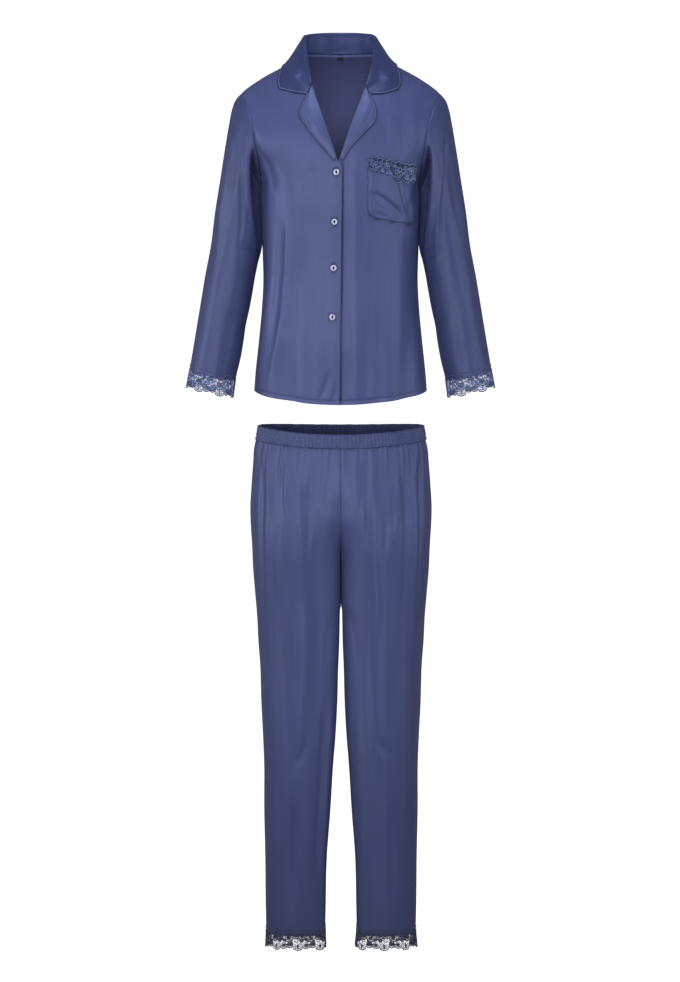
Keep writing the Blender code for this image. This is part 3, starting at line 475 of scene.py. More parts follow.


# Painted shade: the inside of the back is darkened by height, most at the bottom of the neck opening, standing in
# for the shade inside the top.
back_inside_painted_shade = satin("back satin, dull side, painted shade", (0.046, 0.055, 0.148), 0.7, sheen=0.02)
inside_nodes, inside_links = back_inside_painted_shade.node_tree.nodes, back_inside_painted_shade.node_tree.links
inside_split = inside_nodes.new("ShaderNodeSeparateXYZ")
inside_links.new(inside_nodes["Texture Coordinate"].outputs["Object"], inside_split.inputs["Vector"])
lower_shade_amount = inside_nodes.new("ShaderNodeMapRange")
lower_shade_amount.inputs["From Min"].default_value = -0.205
lower_shade_amount.inputs["From Max"].default_value = -0.095
lower_shade_amount.inputs["To Min"].default_value = 0.12
inside_links.new(inside_split.outputs["Z"], lower_shade_amount.inputs["Value"])
shaded_inside_colour = inside_nodes.new("ShaderNodeVectorMath")
shaded_inside_colour.operation = "SCALE"
inside_links.new(inside_nodes["Color Ramp"].outputs["Color"], shaded_inside_colour.inputs[0])
inside_links.new(lower_shade_amount.outputs["Result"], shaded_inside_colour.inputs["Scale"])
inside_links.new(shaded_inside_colour.outputs["Vector"], inside_nodes["Principled BSDF"].inputs["Base Color"])
back_satin = cloth("back_satin", *back_grid(), (top_satin, back_inside_painted_shade))
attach(back_satin, "root")
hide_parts("back")

# --- Fronts of the top ------------------------------------------------------------
# Two satin panels, the right one lapped over the left one down the middle, each with
# its front edge turned under and its hem turned up and stitched.
FRONT_EDGE = {
    RIGHT: {
        "across": (-2.8, -2.8, 5.6, 17.4, 29.5, 41.3, 53.7, 65.5, 71),
        "height": (-245, -209, -196.6, -161.7, -126.8, -92, -57, -30, -4),
    },
    LEFT: {
        "across": (-24, -19, -3.4, 8.5, 20.5, 34, 46.5, 61.5, 71),
        "height": (-245, -219, -197, -162, -128, -93, -60, -31, -4),
    },
}
HEM_EDGE = {RIGHT: 1.9, LEFT: -30}
LAP = 2.3


def closure_edge(height):
    return np.interp(height, (-652, -245, -205), (-1.9, 2.8, 1.6))


def front_grid(side):
    steps = np.linspace(0, 1, 9)
    climb = upper_climb(UPPER_ROWS)
    centre = columns_of(smooth(steps, FRONT_EDGE[side]["across"], climb),
                        smooth(steps, FRONT_EDGE[side]["height"], climb))
    seam = np.linspace(ARMHOLE["across"][-1], NECK_HALF, 85)
    top = columns_of(seam, smooth(SHOULDER["across"], SHOULDER["height"], seam))
    half = panel_rows(top, centre, HEM_EDGE[side], 84, LOWER_ROWS, UPPER_ROWS)
    beside = half[..., 0] + closure_edge(half[..., 1]) - 2.6
    under = 0.8 * np.exp(-((beside / 1.8) ** 2)) * ease((-200 - half[..., 1]) / 12)
    if side == LEFT:
        under = 0.0
        under = -LAP * (1 - ease((half[..., 0] - 12) / 18)) * ease((-185 - half[..., 1]) / 12)
        beside = half[..., 0] - closure_edge(half[..., 1]) - 1.7
        under = under - 3.8 * np.exp(-((beside / 1.8) ** 2)) * ease((-196 - half[..., 1]) / 12)
    grid, facing = body_point(half[..., 0] * side, half[..., 1], FRONT, under)
    grid = seam_roll(grid, facing, "first")
    edges = ("first", "top", "last") if side == RIGHT else ("first", "top")
    return turned_in(grid, facing, edges, 1.6 if side == RIGHT else 5.0)


# The fronts' satin takes painted shade from the shade attribute: beside the lapel, collar and pocket edges, along
# the closure and round the buttons.
front_satin_painted_shade = satin("front satin, painted shade", TOP_BLUE, 0.43, with_painted_shade=True)
front_satins = {}
for wearer_side in (RIGHT, LEFT):
    front_name = f"front_{SIDE_NAMES[wearer_side]}"
    front_satin = cloth(front_name + "_satin", *front_grid(wearer_side), (front_satin_painted_shade, satin_inside))
    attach(front_satin, "root")
    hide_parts(front_name)
    front_satins[wearer_side] = front_satin

# --- Sleeves ----------------------------------------------------------------------
# Long set-in sleeves of the same satin, one piece each with a seam under the arm. They
# hang a little forward, and fold softly at the underarm and the elbow.
SLEEVE_OUTER = {
    "height": (-76, -90, -105.5, -136, -181, -242, -302, -363, -424, -485, -545, -596),
    "across": (187, 198.6, 204.5, 211, 218.7, 228.2, 237.7, 245.4, 256.9, 267, 277, 285.6),
}
SLEEVE_INNER = {
    "height": (-245, -280, -330, -358, -376, -393, -424, -454, -485, -515, -545, -576, -614.8),
    "across": (150.5, 149.2, 148.0, 147.6, 150.2, 155.0, 161.6, 166.6, 172.5, 179.2, 183.5, 188.8, 198.3),
}
SLEEVE_DEPTH = {
    "share": (0, 0.15, 0.4, 0.7, 1.0),
    "half": (66, 67, 60, 54, 49),
    "forward": (0, 2, 6, 11, 16),
}
SLEEVE_BLEND = 0.3
SLEEVE_LENGTH = 480
CUFF_DROP, CUFF_LEAN, CUFF_LAP = 37.0, 6.0, 7.5
SLEEVE_FOLDS = ((68, 0.05, 0.40, -2.5), (90, 0.38, 0.85, 1.5), (247, 0.1, 0.7, 6))
# Fold behind which each sleeve drops back to the underarm: share down and degrees.
UNDERARM = {
    RIGHT: {"share": (0.02, 0.07, 0.13, 0.26, 0.34, 0.45), "degrees": (92, 96, 103, 120, 136, 166)},
    LEFT: {"share": (0.02, 0.07, 0.13, 0.26, 0.36, 0.45), "degrees": (88, 94, 101, 120, 142, 168)},
}
UNDERARM_DEPTH = 0.62
# Creases of each sleeve: path in degrees round from the outer side and mm down.
SLEEVE_CREASES = {
    RIGHT: (
        (((84, 10), (98, 70), (126, 150)), 2.6, 10),
        (((58, 40), (72, 75), (80, 130), (88, 193)), 2.8, 4.5),
        (((66, 50), (82, 100), (96, 170), (102, 225)), -2.6, 4.5),
        (((22, 30), (20, 120), (26, 240)), -1.8, 8),
        (((40, 20), (34, 140), (30, 260)), 2.2, 13),
        (((66, 30), (60, 160), (52, 320)), -1.6, 10),
        (((160, 170), (120, 205), (84, 214)), -1.6, 8),
        (((165, 230), (130, 252), (96, 258)), -1.3, 8),
        (((60, 270), (72, 360), (66, 470)), 1.4, 13),
        (((120, 300), (112, 400), (116, 500)), -1.5, 10),
        (((200, 180), (240, 220), (280, 228)), -1.6, 9),
        (((300, 60), (296, 220), (304, 420)), 2.0, 15),
        (((262, 260), (256, 360), (260, 480)), -1.8, 12),
    ),
    LEFT: (
        (((36, 40), (72, 104), (90, 150), (112, 230)), -6.0, 5),
        (((50, 60), (84, 120), (104, 170), (128, 250)), 3.2, 7),
        (((100, 20), (112, 80), (132, 150)), 2.2, 8),
        (((30, 40), (26, 160), (30, 300)), 2.0, 12),
        (((58, 20), (54, 140), (46, 250)), -1.8, 9),
        (((158, 190), (126, 214), (92, 230)), -1.7, 8),
        (((166, 250), (134, 268), (104, 282)), -1.2, 8),
        (((50, 300), (60, 380), (56, 480)), 1.6, 12),
        (((96, 330), (104, 420), (100, 500)), -1.4, 10),
        (((205, 170), (238, 206), (276, 220)), -1.6, 9),
        (((306, 80), (300, 240), (296, 400)), 2.0, 15),
        (((250, 280), (258, 380), (252, 490)), -1.8, 12),
    ),
}


def sleeve_lines(share):
    """Outer point, inner point, half depth and forward shift at a share of the sleeve."""
    outer_height = SLEEVE_OUTER["height"][0] * (1 - share) + SLEEVE_OUTER["height"][-1] * share
    inner_height = SLEEVE_INNER["height"][0] * (1 - share) + SLEEVE_INNER["height"][-1] * share
    outer = smooth(SLEEVE_OUTER["height"], SLEEVE_OUTER["across"], outer_height)
    inner = smooth(SLEEVE_INNER["height"], SLEEVE_INNER["across"], inner_height)
    half = smooth(SLEEVE_DEPTH["share"], SLEEVE_DEPTH["half"], share)
    forward = smooth(SLEEVE_DEPTH["share"], SLEEVE_DEPTH["forward"], share)
    lean = np.maximum(share - 1, 0) * SLEEVE_LENGTH * CUFF_LEAN / CUFF_DROP
    return outer + lean, outer_height, inner + lean, inner_height, half, forward


def sleeve_ellipse(turn, share, side):
    outer, outer_height, inner, inner_height, half, forward = sleeve_lines(share)
    lean = np.cos(turn)
    crease = 0
    for degrees, start, end, fold in SLEEVE_FOLDS:
        away = (np.degrees(turn) - degrees) / 16
        along = np.sin(np.pi * np.clip((share - start) / (end - start), 0, 1))
        crease = crease + fold * along * np.exp(-away * away)
    shrink = 1 - crease / 55
    across = (outer + inner) / 2 + (outer - inner) / 2 * lean * shrink
    height = (outer_height + inner_height) / 2 + (outer_height - inner_height) / 2 * lean
    fold = smooth(UNDERARM[side]["share"], UNDERARM[side]["degrees"], share)
    behind = ease((np.degrees(turn) % 360 - fold) / 9) * (np.degrees(turn) % 360 < 181)
    behind = behind * ease(share / 0.09) * ease((0.49 - share) / 0.06) * UNDERARM_DEPTH
    return columns_of(across, -half * np.sin(turn) * shrink * (1 - behind) - forward, height)


def armhole_ring(turn):
    degrees = np.degrees(turn) % 360
    share = 1 - np.abs(degrees - 360 * (degrees > 180)) / 180
    steps = np.linspace(0, 1, len(ARMHOLE["across"]))
    across, height = smooth(steps, ARMHOLE["across"], share), smooth(steps, ARMHOLE["height"], share)
    front, front_normal = body_point(across, height, FRONT)
    back, back_normal = body_point(across, height, BACK)
    ahead = (np.sin(turn) >= 0)[..., None]
    apart = SEAM + 0.1 - 2.6 * np.exp(-(((degrees - 180) / 30) ** 2))
    ring = np.where(ahead, front, back) + apart[..., None] * [1, 0, 0]
    return ring, np.where(ahead, front_normal, back_normal)


def sleeve_point(turn, share, side):
    ring, _ = armhole_ring(turn)
    fade = ((1 - np.clip(share / SLEEVE_BLEND, 0, 1)) ** 2)[..., None]
    return sleeve_ellipse(turn, share, side) + (ring - sleeve_ellipse(turn, 0 * turn, side)) * fade


def sleeve_surface(turn, share, side):
    """Points of the creased sleeve on the wearer's left, and their normals."""
    turn, share = np.broadcast_arrays(np.asarray(turn, float), np.asarray(share, float))
    step = 0.01
    around = sleeve_point(turn + step, share, side) - sleeve_point(turn - step, share, side)
    along = (sleeve_point(turn, np.minimum(share + step, 1.02), side)
             - sleeve_point(turn, np.maximum(share - step, 0), side))
    normal = unit(np.cross(around, along))
    degrees = np.degrees(turn) % 360
    out = creased(degrees, share * SLEEVE_LENGTH, SLEEVE_CREASES[side])
    return sleeve_point(turn, share, side) + normal * out[..., None], normal


def sleeve_grid(side):
    turns = np.linspace(0, 2 * math.pi, 97)[:-1][None, :]
    shares = np.linspace(0, 1 + CUFF_LAP / SLEEVE_LENGTH, 153)[:, None]
    grid, facing = sleeve_surface(turns, shares, side)
    own, body = facing[0], armhole_ring(turns[0])[1]
    agree = np.sum(own * body, axis=-1, keepdims=True) > 0
    seam_facing = np.where(agree, unit(own + body), own)
    grid = seam_roll(grid, facing, "bottom", 0.9, 3.5)
    tuck = [grid[0] - seam_facing * d - [1.5, 0, 0] for d in (5.0, 1.2)]
    grid = np.concatenate([[tuck[0]], [tuck[1]], grid])
    facing = np.concatenate([[seam_facing], [seam_facing], facing])
    return grid * [side, 1, 1], facing * [side, 1, 1]


# The sleeves' satin is made darker than the top's, though it is the same cloth: painted shade on the sleeves.
sleeve_darkened_satin = satin("sleeve satin", (0.056, 0.069, 0.178), 0.42)
for wearer_side in (RIGHT, LEFT):
    sleeve_name = f"sleeve_{SIDE_NAMES[wearer_side]}"
    sleeve_satin = cloth(sleeve_name + "_satin", *sleeve_grid(wearer_side), (sleeve_darkened_satin, satin_inside), True)
    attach(sleeve_satin, "root")
    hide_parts(sleeve_name)

# --- Lapels -----------------------------------------------------------------------
# The upper fronts turned back from the break line. Each lies on its own front, faced
# with the same satin, with a pressed outer edge.
LAPEL = {
    RIGHT: {
        "inner_across": (6.6, 15.0, 23.9, 32.0, 38.2, 44.2, 48.9, 53.4),
        "inner_height": (-193.6, -168.5, -143.3, -119.1, -100.6, -84.0, -69.3, -58.4),
        "outer_across": (10.6, 25.4, 43.2, 60.2, 72.0, 74.5, 69.4, 61.7),
        "outer_height": (-196.0, -177.8, -158.2, -135.9, -120.1, -109.0, -94.3, -77.4),
    },
    LEFT: {
        "inner_across": (-1.8, 6.4, 15.4, 24.4, 31.4, 37.9, 43.0, 47.0),
        "inner_height": (-193.0, -168.5, -143.3, -119.1, -100.6, -84.0, -70.3, -61.4),
        "outer_across": (2.0, 13.1, 28.2, 46.0, 61.1, 64.5, 62.1, 54.9),
        "outer_height": (-195.5, -177.8, -160.1, -141.6, -125.8, -111.8, -98.0, -78.3),
    },
}
LAPEL_LIFT = 2.4
LAPEL_CREASES = (
    (((60, -90), (52, -120), (40, -154)), 1.2, 4.2),
    (((49, -80), (41, -116), (28, -160)), -0.9, 3.6),
    (((66, -100), (60, -124), (48, -142)), -0.7, 3.0),
)
# The lapels' satin is made lighter than the top's, though it is the same cloth: painted light on the lapels.
lapel_lightened_satin = satin("lapel satin", (0.086, 0.104, 0.250), 0.36)


def lapel_grid(side):
    """Grid from the bottom of the neck opening up, break line to outer edge."""
    steps = np.arange(8)
    climb = np.linspace(0, 7, 57)[:, None]
    share = np.linspace(0, 1, 25)[None, :]
    table = LAPEL[side]
    inner = columns_of(*(smooth(steps, table[f"inner_{axis}"], climb) for axis in ("across", "height")))
    outer = columns_of(*(smooth(steps, table[f"outer_{axis}"], climb) for axis in ("across", "height")))
    flat = inner + (outer - inner) * share[..., None]
    belly = 1.6 * np.sin(math.pi * share) * np.sin(math.pi * climb / 7) ** 0.6
    roll = 1.1 * np.exp(-((share / 0.12) ** 2))
    folds = creased(flat[..., 0] - (0 if side == RIGHT else -9), flat[..., 1], LAPEL_CREASES)
    folds = folds * np.sin(math.pi * share)
    return body_point(flat[..., 0] * side, flat[..., 1], FRONT, LAPEL_LIFT + belly - roll + folds)


for wearer_side in (RIGHT, LEFT):
    lapel_name = f"lapel_{SIDE_NAMES[wearer_side]}"
    points, facing = turned_in(*lapel_grid(wearer_side), ("first", "last", "bottom"), 1.4)
    lapel_satin = cloth(lapel_name + "_satin", points, facing, (lapel_lightened_satin,) * 2)
    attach(lapel_satin, "root")
    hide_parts(lapel_name)

# --- Collar -----------------------------------------------------------------------
# One satin collar, sewn to the neckline, standing up to a soft roll and falling over
# it to the shoulders. Its front ends make the notches with the lapels.
COLLAR = {
    RIGHT: {
        "roll_across": (0, 30, 54, 64.5, 66.8, 64.8, 60.6, 56.5, 54.2),
        "roll_depth": (62, 59, 46, 34, 20, -14, -43, -63, -76),
        "roll_height": (35.6, 35.4, 34.2, 32.4, 29.5, 9.3, -16.1, -39.7, -55.4),
        "edge_across": (0, 42, 78, 97, 105.5, 112.3, 115, 112.4, 105),
        "edge_height": (-24, -25, -26, -27, -22, -38, -54, -62.5, -66.6),
        "edge_depth": (86, 78, 52, 26, 0, -32, -50, -60, -64),
    },
    LEFT: {
        "roll_across": (0, 30, 54, 63, 64.4, 62.4, 58.5, 52.4, 47.4),
        "roll_depth": (62, 59, 46, 34, 20, -12, -45, -66, -79),
        "roll_height": (35.6, 35.4, 34.2, 31.6, 26.5, 4.7, -21.5, -44.3, -58.9),
        "edge_across": (0, 42, 77, 95, 102.1, 107.6, 110.3, 108.6, 101),
        "edge_height": (-24, -25, -26, -26, -20, -34, -50.6, -60, -66.6),
        "edge_depth": (86, 78, 52, 26, 0, -30, -48, -58, -63),
    },
}
COLLAR_END = {
    RIGHT: {"across": (57.8, 62.4, 84.0, 105.0), "height": (-65.3, -74.6, -70.6, -66.6)},
    LEFT: {"across": (51.1, 55.8, 77.0, 101.0), "height": (-67.6, -74.6, -72.6, -66.6)},
}
NECK_SEAM = {
    RIGHT: {"across": (0, 28, 52, 66, 71, 70.2, 67.2, 62.6, 55.2), "height": (-15, -28, -43, -54.4)},
    LEFT: {"across": (0, 28, 52, 66, 71, 69.4, 64.8, 56.8, 48.6), "height": (-15, -28, -43, -57.0)},
}
COLLAR_STEPS = 11
# Creases of the collar: path along it from the middle of the back and across it from the
# neck seam, both in tenths of a station, height and half width.
COLLAR_CREASES = (
    (((-40, 46), (-60, 47), (-80, 50)), -1.9, 6),
    (((-44, 60), (-62, 61), (-80, 63)), 1.7, 7),
    (((-56, 44), (-62, 60), (-64, 78)), 0.9, 4),
    (((-68, 46), (-71, 62), (-72, 78)), -0.8, 3),
    (((-48, 70), (-62, 72), (-76, 74)), -0.9, 5),
    (((40, 47), (60, 50), (80, 52)), -1.7, 6),
    (((44, 64), (62, 66), (80, 68)), 1.2, 7),
    (((58, 44), (64, 60), (66, 78)), 0.9, 4),
    (((70, 46), (72, 62), (73, 78)), -0.8, 3),
    (((-30, 60), (0, 62), (30, 60)), -1.0, 8),
    (((-28, 16), (0, 18), (28, 16)), 0.8, 6),
)
COLLAR_GAPS = {"seam": 1.5, "fall": 3.4, "end": 3.0, "roll": 5.0}


def push_clear(points, gap):
    """Moves points out to a gap from the body where they lie nearer than that."""
    moved = np.array(points, float)
    for _ in range(3):
        for i, (x, y, z) in enumerate(moved):
            face = FRONT if y < 0 else BACK
            gradient = body_normal(x, y, z, face)
            step = 0.5
            rise = [squared_depth(x + step, z, face) - squared_depth(x - step, z, face),
                    squared_depth(x, z + step, face) - squared_depth(x, z - step, face)]
            near = (y * y - squared_depth(x, z, face)) / max(math.hypot(rise[0], 2 * y, rise[1]), 1e-6)
            if near < gap:
                moved[i] += gradient * min(gap - near, 3)
    return moved


def collar_section(side, station):
    """Points across the collar, from the neck seam over the roll to the outer edge."""
    stations = np.arange(9)
    table = COLLAR[side]
    roll, edge = (np.array([smooth(stations, table[f"{line}_{axis}"], station)
                            for axis in ("across", "depth", "height")]) for line in ("roll", "edge"))
    seam_across = float(smooth(stations, NECK_SEAM[side]["across"], station))
    if station <= 4:
        seam, _ = body_point(seam_across, neck_back(seam_across), BACK, COLLAR_GAPS["seam"])
    else:
        heights = (neck_back(NECK_HALF),) + NECK_SEAM[side]["height"]
        seam_height = float(smooth(stations[4:], heights, station))
        seam, _ = body_point(seam_across, seam_height, FRONT, COLLAR_GAPS["seam"])
        roll = push_clear(roll[None], COLLAR_GAPS["roll"] * min(1, station - 4))[0]
    stand, fall = unit(seam - roll), unit(edge - roll)
    up, across = -unit(stand + fall), unit(fall - stand)
    radius = float(smooth((0, 5, 8), (3.4, 3.0, 2.0), station))
    roll_in = roll - up * radius * 0.6 - across * radius
    roll_out = roll - up * radius * 0.6 + across * radius
    points = [seam, (seam + roll_in) / 2, roll_in, roll, roll_out]
    if station == stations[-1]:
        end = COLLAR_END[side]
        points += list(body_point(end["across"], end["height"], FRONT, COLLAR_GAPS["end"])[0])
    else:
        for share in (0.25, 0.5, 0.75, 1.0):
            bulge = up * 3.0 * math.sin(math.pi * share) * min(1, (8 - station) / 2)
            points.append(roll_out + (edge - roll_out) * share + bulge)
        points[5:] = push_clear(points[5:], COLLAR_GAPS["fall"])
    return np.array(points)


def finer(points, steps):
    """Smooth curve through points along the first axis, with that many steps between them."""
    at = np.arange(len(points))
    fine = np.linspace(0, len(points) - 1, (len(points) - 1) * steps + 1)
    flat = points.reshape(len(points), -1)
    columns = [smooth(at, flat[:, i], fine) for i in range(flat.shape[1])]
    return np.stack(columns, -1).reshape(len(fine), *points.shape[1:])


def collar_grid():
    """Coarse grid from the right front end round the back to the left one, and its normals."""
    right = [collar_section(RIGHT, s) * [RIGHT, 1, 1] for s in np.linspace(8, 0, COLLAR_STEPS + 1)]
    left = [collar_section(LEFT, s) for s in np.linspace(0, 8, COLLAR_STEPS + 1)[1:]]
    grid = np.array(right + left)
    normals = unit(np.cross(np.gradient(grid, axis=1), np.gradient(grid, axis=0)))
    return grid, normals * np.sign(np.sum(normals[:, 3, 2]))


coarse_collar, coarse_facing = collar_grid()
points = finer(finer(coarse_collar, 6).transpose(1, 0, 2), 4).transpose(1, 0, 2)
facing = unit(finer(finer(coarse_facing, 6).transpose(1, 0, 2), 4).transpose(1, 0, 2))
collar_along = np.linspace(-80, 80, points.shape[0])[:, None]
collar_across = np.linspace(0, 80, points.shape[1])[None, :]
points = points + facing * creased(collar_along, collar_across, COLLAR_CREASES)[..., None]
points, facing = turned_in(points, facing, ("last", "top", "bottom"), 1.4)
# The collar's satin is made much darker than the top's, though it is the same cloth: painted shade on the collar.
collar_darkened_satin = satin("collar satin", (0.041, 0.053, 0.150), 0.32)
whole_collar = cloth("collar_satin", points, facing, (collar_darkened_satin,) * 2)
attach(whole_collar, "root")
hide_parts("collar")

# --- Piping -----------------------------------------------------------------------
# A thin round self piping, caught in the outer edge of lapels and collar. Each half
# runs from the bottom of the lapel, round the notch, to the middle of the back.
PIPING = 1.1
PIPING_GAP = 0.6


def satin_cord(name, colour):
    """Shiny bias-cut satin over a cord: slanting ribs round it."""
    made = satin(name, colour, 0.34, sheen=0.3)
    nodes = made.node_tree.nodes
    nodes["Wave Texture"].bands_direction = "DIAGONAL"
    nodes["Wave Texture"].inputs["Scale"].default_value = 250
    nodes["weave"].inputs["Strength"].default_value = 0.25
    return made


def tube(name, route, radius, finish, sides=10):
    """Round tube along a route, with closed ends and lengthwise UVs."""
    forward = unit(np.gradient(route, axis=0))
    first = unit(np.cross(forward, [0.3, 0.1, 1.0]))
    second = np.cross(forward, first)
    turns = np.linspace(0, 2 * math.pi, sides + 1)[:-1]
    rings = (route[:, None] + radius * (np.cos(turns)[None, :, None] * first[:, None]
                                        + np.sin(turns)[None, :, None] * second[:, None]))
    count = len(route) * sides
    index = np.arange(count).reshape(len(route), sides)
    around = np.roll(index, -1, 1)
    faces = np.stack([index[:-1], index[1:], around[1:], around[:-1]], -1).reshape(-1, 4).tolist()
    faces += [index[0].tolist(), index[-1][::-1].tolist()]
    mesh = bpy.data.meshes.new(name)
    mesh.from_pydata((rings.reshape(-1, 3) * MM).tolist(), [], faces)
    run = np.concatenate([[0], np.cumsum(np.linalg.norm(np.diff(route, axis=0), axis=1))])
    layer = mesh.uv_layers.new(name="cut")
    for loop in mesh.loops:
        ring, spoke = divmod(loop.vertex_index, sides)
        layer.data[loop.index].uv = (run[ring] * MM, spoke / sides * radius * 6 * MM)
    work = bmesh.new()
    work.from_mesh(mesh)
    bmesh.ops.recalc_face_normals(work, faces=work.faces)
    work.to_mesh(mesh)
    work.free()
    mesh.polygons.foreach_set("use_smooth", np.ones(len(faces), bool))
    mesh.materials.append(finish)
    piece = bpy.data.objects.new(name, mesh)
    bpy.context.collection.objects.link(piece)
    return piece


def beyond(edge, inside, normals):
    """Line outside an edge, square to it, at the piping's distance."""
    out = unit(np.cross(np.gradient(edge, axis=0), normals))
    out = out * np.sign(np.sum(out * (edge - inside), axis=-1, keepdims=True))
    return edge + out * (PIPING_GAP + PIPING - 0.5)


def piping_route(side):
    points, normals = lapel_grid(side)
    route = beyond(points[::8, -1], points[::8, -3], normals[::8, -1])[:-1]
    half = slice(0, COLLAR_STEPS + 1) if side == RIGHT else slice(None, COLLAR_STEPS - 1, -1)
    grid, normals = coarse_collar[half], coarse_facing[half]
    lower = np.arange(6, 9)
    edge = np.concatenate([grid[0, lower], grid[1:, 8]])
    inside = np.concatenate([grid[1, lower], grid[1:, 7]])
    facing = np.concatenate([normals[0, lower], normals[1:, 8]])
    leaf = beyond(edge, inside, facing)
    leaf[-1, 0] = side * SEAM / 2
    return finer(np.concatenate([route, leaf]), 6)


def shade_beside(piece, line, reach):
    """Darkens the cloth of a piece close beside a line, where the edge over it keeps light off."""
    points = np.empty(len(piece.data.vertices) * 3)
    piece.data.vertices.foreach_get("co", points)
    points = points.reshape(-1, 3) / MM
    near = np.full(len(points), 1e9)
    for spot in line:
        near = np.minimum(near, np.hypot(points[:, 0] - spot[0], points[:, 2] - spot[2]))
    layer = piece.data.attributes.get("shade") or piece.data.attributes.new("shade", "FLOAT", "POINT")
    shade = np.ones(len(points))
    if reach < 3:
        layer.data.foreach_get("value", shade)
    layer.data.foreach_set("value", shade * (1 - 0.9 * np.exp(-((near / reach) ** 2))))


# The piping's satin is made lighter than the satin it is cut from: a painted highlight along the piping.
piping_lightened_satin = satin_cord("piping satin, painted highlight", (0.105, 0.13, 0.31))
for wearer_side in (RIGHT, LEFT):
    piping_name = f"piping_{SIDE_NAMES[wearer_side]}"
    route = piping_route(wearer_side)
    piping = tube(piping_name + "_satin", route, PIPING, piping_lightened_satin)
    # Painted shade on the front beside the piping, where the lapel and collar edges keep light off.
    shade_beside(front_satins[wearer_side], route, 3.3)
    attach(piping, "root")
    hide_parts(piping_name)

# Painted shade on the left front along the right front's edge, where the lap keeps light off.
height = np.linspace(-652, -206, 300)
shade_beside(front_satins[LEFT], body_point(closure_edge(height) + 0.9, height, FRONT)[0], 1.7)

# --- Size label -------------------------------------------------------------------
# A blank black woven tape, folded and caught in the back neck seam, hanging inside.
LABEL_SIZE = 10.5
label_cloth = bpy.data.materials.new("label tape")
label_cloth.use_nodes = True
label_nodes = label_cloth.node_tree.nodes
label_nodes["Principled BSDF"].inputs["Base Color"].default_value = (0.004, 0.004, 0.006, 1)
label_nodes["Principled BSDF"].inputs["Roughness"].default_value = 0.8
label_weave = label_nodes.new("ShaderNodeTexWave")
label_weave.inputs["Scale"].default_value = 500
label_place = label_nodes.new("ShaderNodeTexCoord")
label_bump = label_nodes.new("ShaderNodeBump")
label_bump.inputs["Strength"].default_value = 0.3
label_bump.inputs["Distance"].default_value = 0.0003
label_cloth.node_tree.links.new(label_place.outputs["Object"], label_weave.inputs["Vector"])
label_cloth.node_tree.links.new(label_weave.outputs["Fac"], label_bump.inputs["Height"])
label_cloth.node_tree.links.new(label_bump.outputs["Normal"], label_nodes["Principled BSDF"].inputs["Normal"])

label_seam, _ = body_point(0, neck_back(0), BACK, -1.2)
label_drop = np.linspace(0, LABEL_SIZE, 12)[:, None]
label_across = np.linspace(-LABEL_SIZE / 2, LABEL_SIZE / 2, 9)[None, :]
label_curl = 0.5 * np.sin(label_drop / LABEL_SIZE * math.pi)
points = columns_of(label_across, label_seam[1] - 0.4 - label_curl, label_seam[2] - SEAM - label_drop)
size_label = cloth("size_label_tape", points, np.array([0.0, -1.0, 0.0]), (label_cloth, label_cloth),
                   thickness=0.6)
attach(size_label, "root")
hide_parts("size_label")

# --- Pocket -----------------------------------------------------------------------
# A satin patch on the wearer's left chest with rounded lower corners, stitched on at
# three sides. It gapes a little at the mouth and folds softly towards the arm.
POCKET = {
    "across": (51.7, 55, 61, 74, 88, 103, 118, 131, 138, 142),
    "bottom": (-290, -299, -304.5, -308.5, -311.5, -315, -318, -319, -316, -309),
}
POCKET_TOP = {"across": (51.7, 142), "height": (-192, -207)}
POCKET_LIFT = 1.9
POCKET_CREASES = (
    (((50, -256), (82, -282), (120, -318)), -6.4, 7),
    (((56, -244), (88, -268), (122, -296)), 2.0, 7),
    (((106, -222), (120, -270), (132, -320)), -4.6, 5),
    (((122, -222), (132, -262), (140, -300)), 1.0, 5),
    (((58, -296), (76, -303), (96, -309)), -1.6, 4),
)
pocket_satin_finish = satin("pocket satin", (0.074, 0.090, 0.226), 0.40)


def pocket_point(across, share, out=0.0):
    """Point of the pocket at a share of the way from its mouth to its lower edge."""
    top = np.interp(across, POCKET_TOP["across"], POCKET_TOP["height"])
    bottom = smooth(POCKET["across"], POCKET["bottom"], across)
    height = top + (bottom - top) * share
    inset = np.minimum(np.minimum(across - 51.7, 142 - across) / 7, (1 - share) * 14)
    puff = 0.9 * ease(inset) + 0.8 * ease(inset / 3) * (1 - share)
    folds = creased(across, height, POCKET_CREASES) * ease(inset)
    return body_point(across, height, FRONT, POCKET_LIFT - 1.0 + puff + folds + out)


pocket_across = 51.7 + 90.3 * (0.5 - 0.5 * np.cos(np.linspace(0, math.pi, 53)))[None, :]
points, facing = pocket_point(pocket_across, np.linspace(0, 1, 57)[:, None])
points, facing = turned_in(points, facing, ("first", "last", "top", "bottom"), 0.9)
pocket_satin = cloth("pocket_satin", points, facing, (pocket_satin_finish, satin_inside))
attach(pocket_satin, "root")
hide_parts("pocket")

# --- Lace of the pocket and cuffs --------------------------------------------------
# Floral lace: dense petals and leaves edged with a heavier cord, on a fine net, with a
# straight corded header sewn over the satin and a lower edge in uneven scallops.
LACE_REPEAT = 42.0
LACE_LOBES = ((0.0, 17.0, 0.0), (17.0, 30.0, 3.2), (30.0, 42.0, 4.6))
LOBE_NOTCH = 4.6
LACE_NET = 2.625


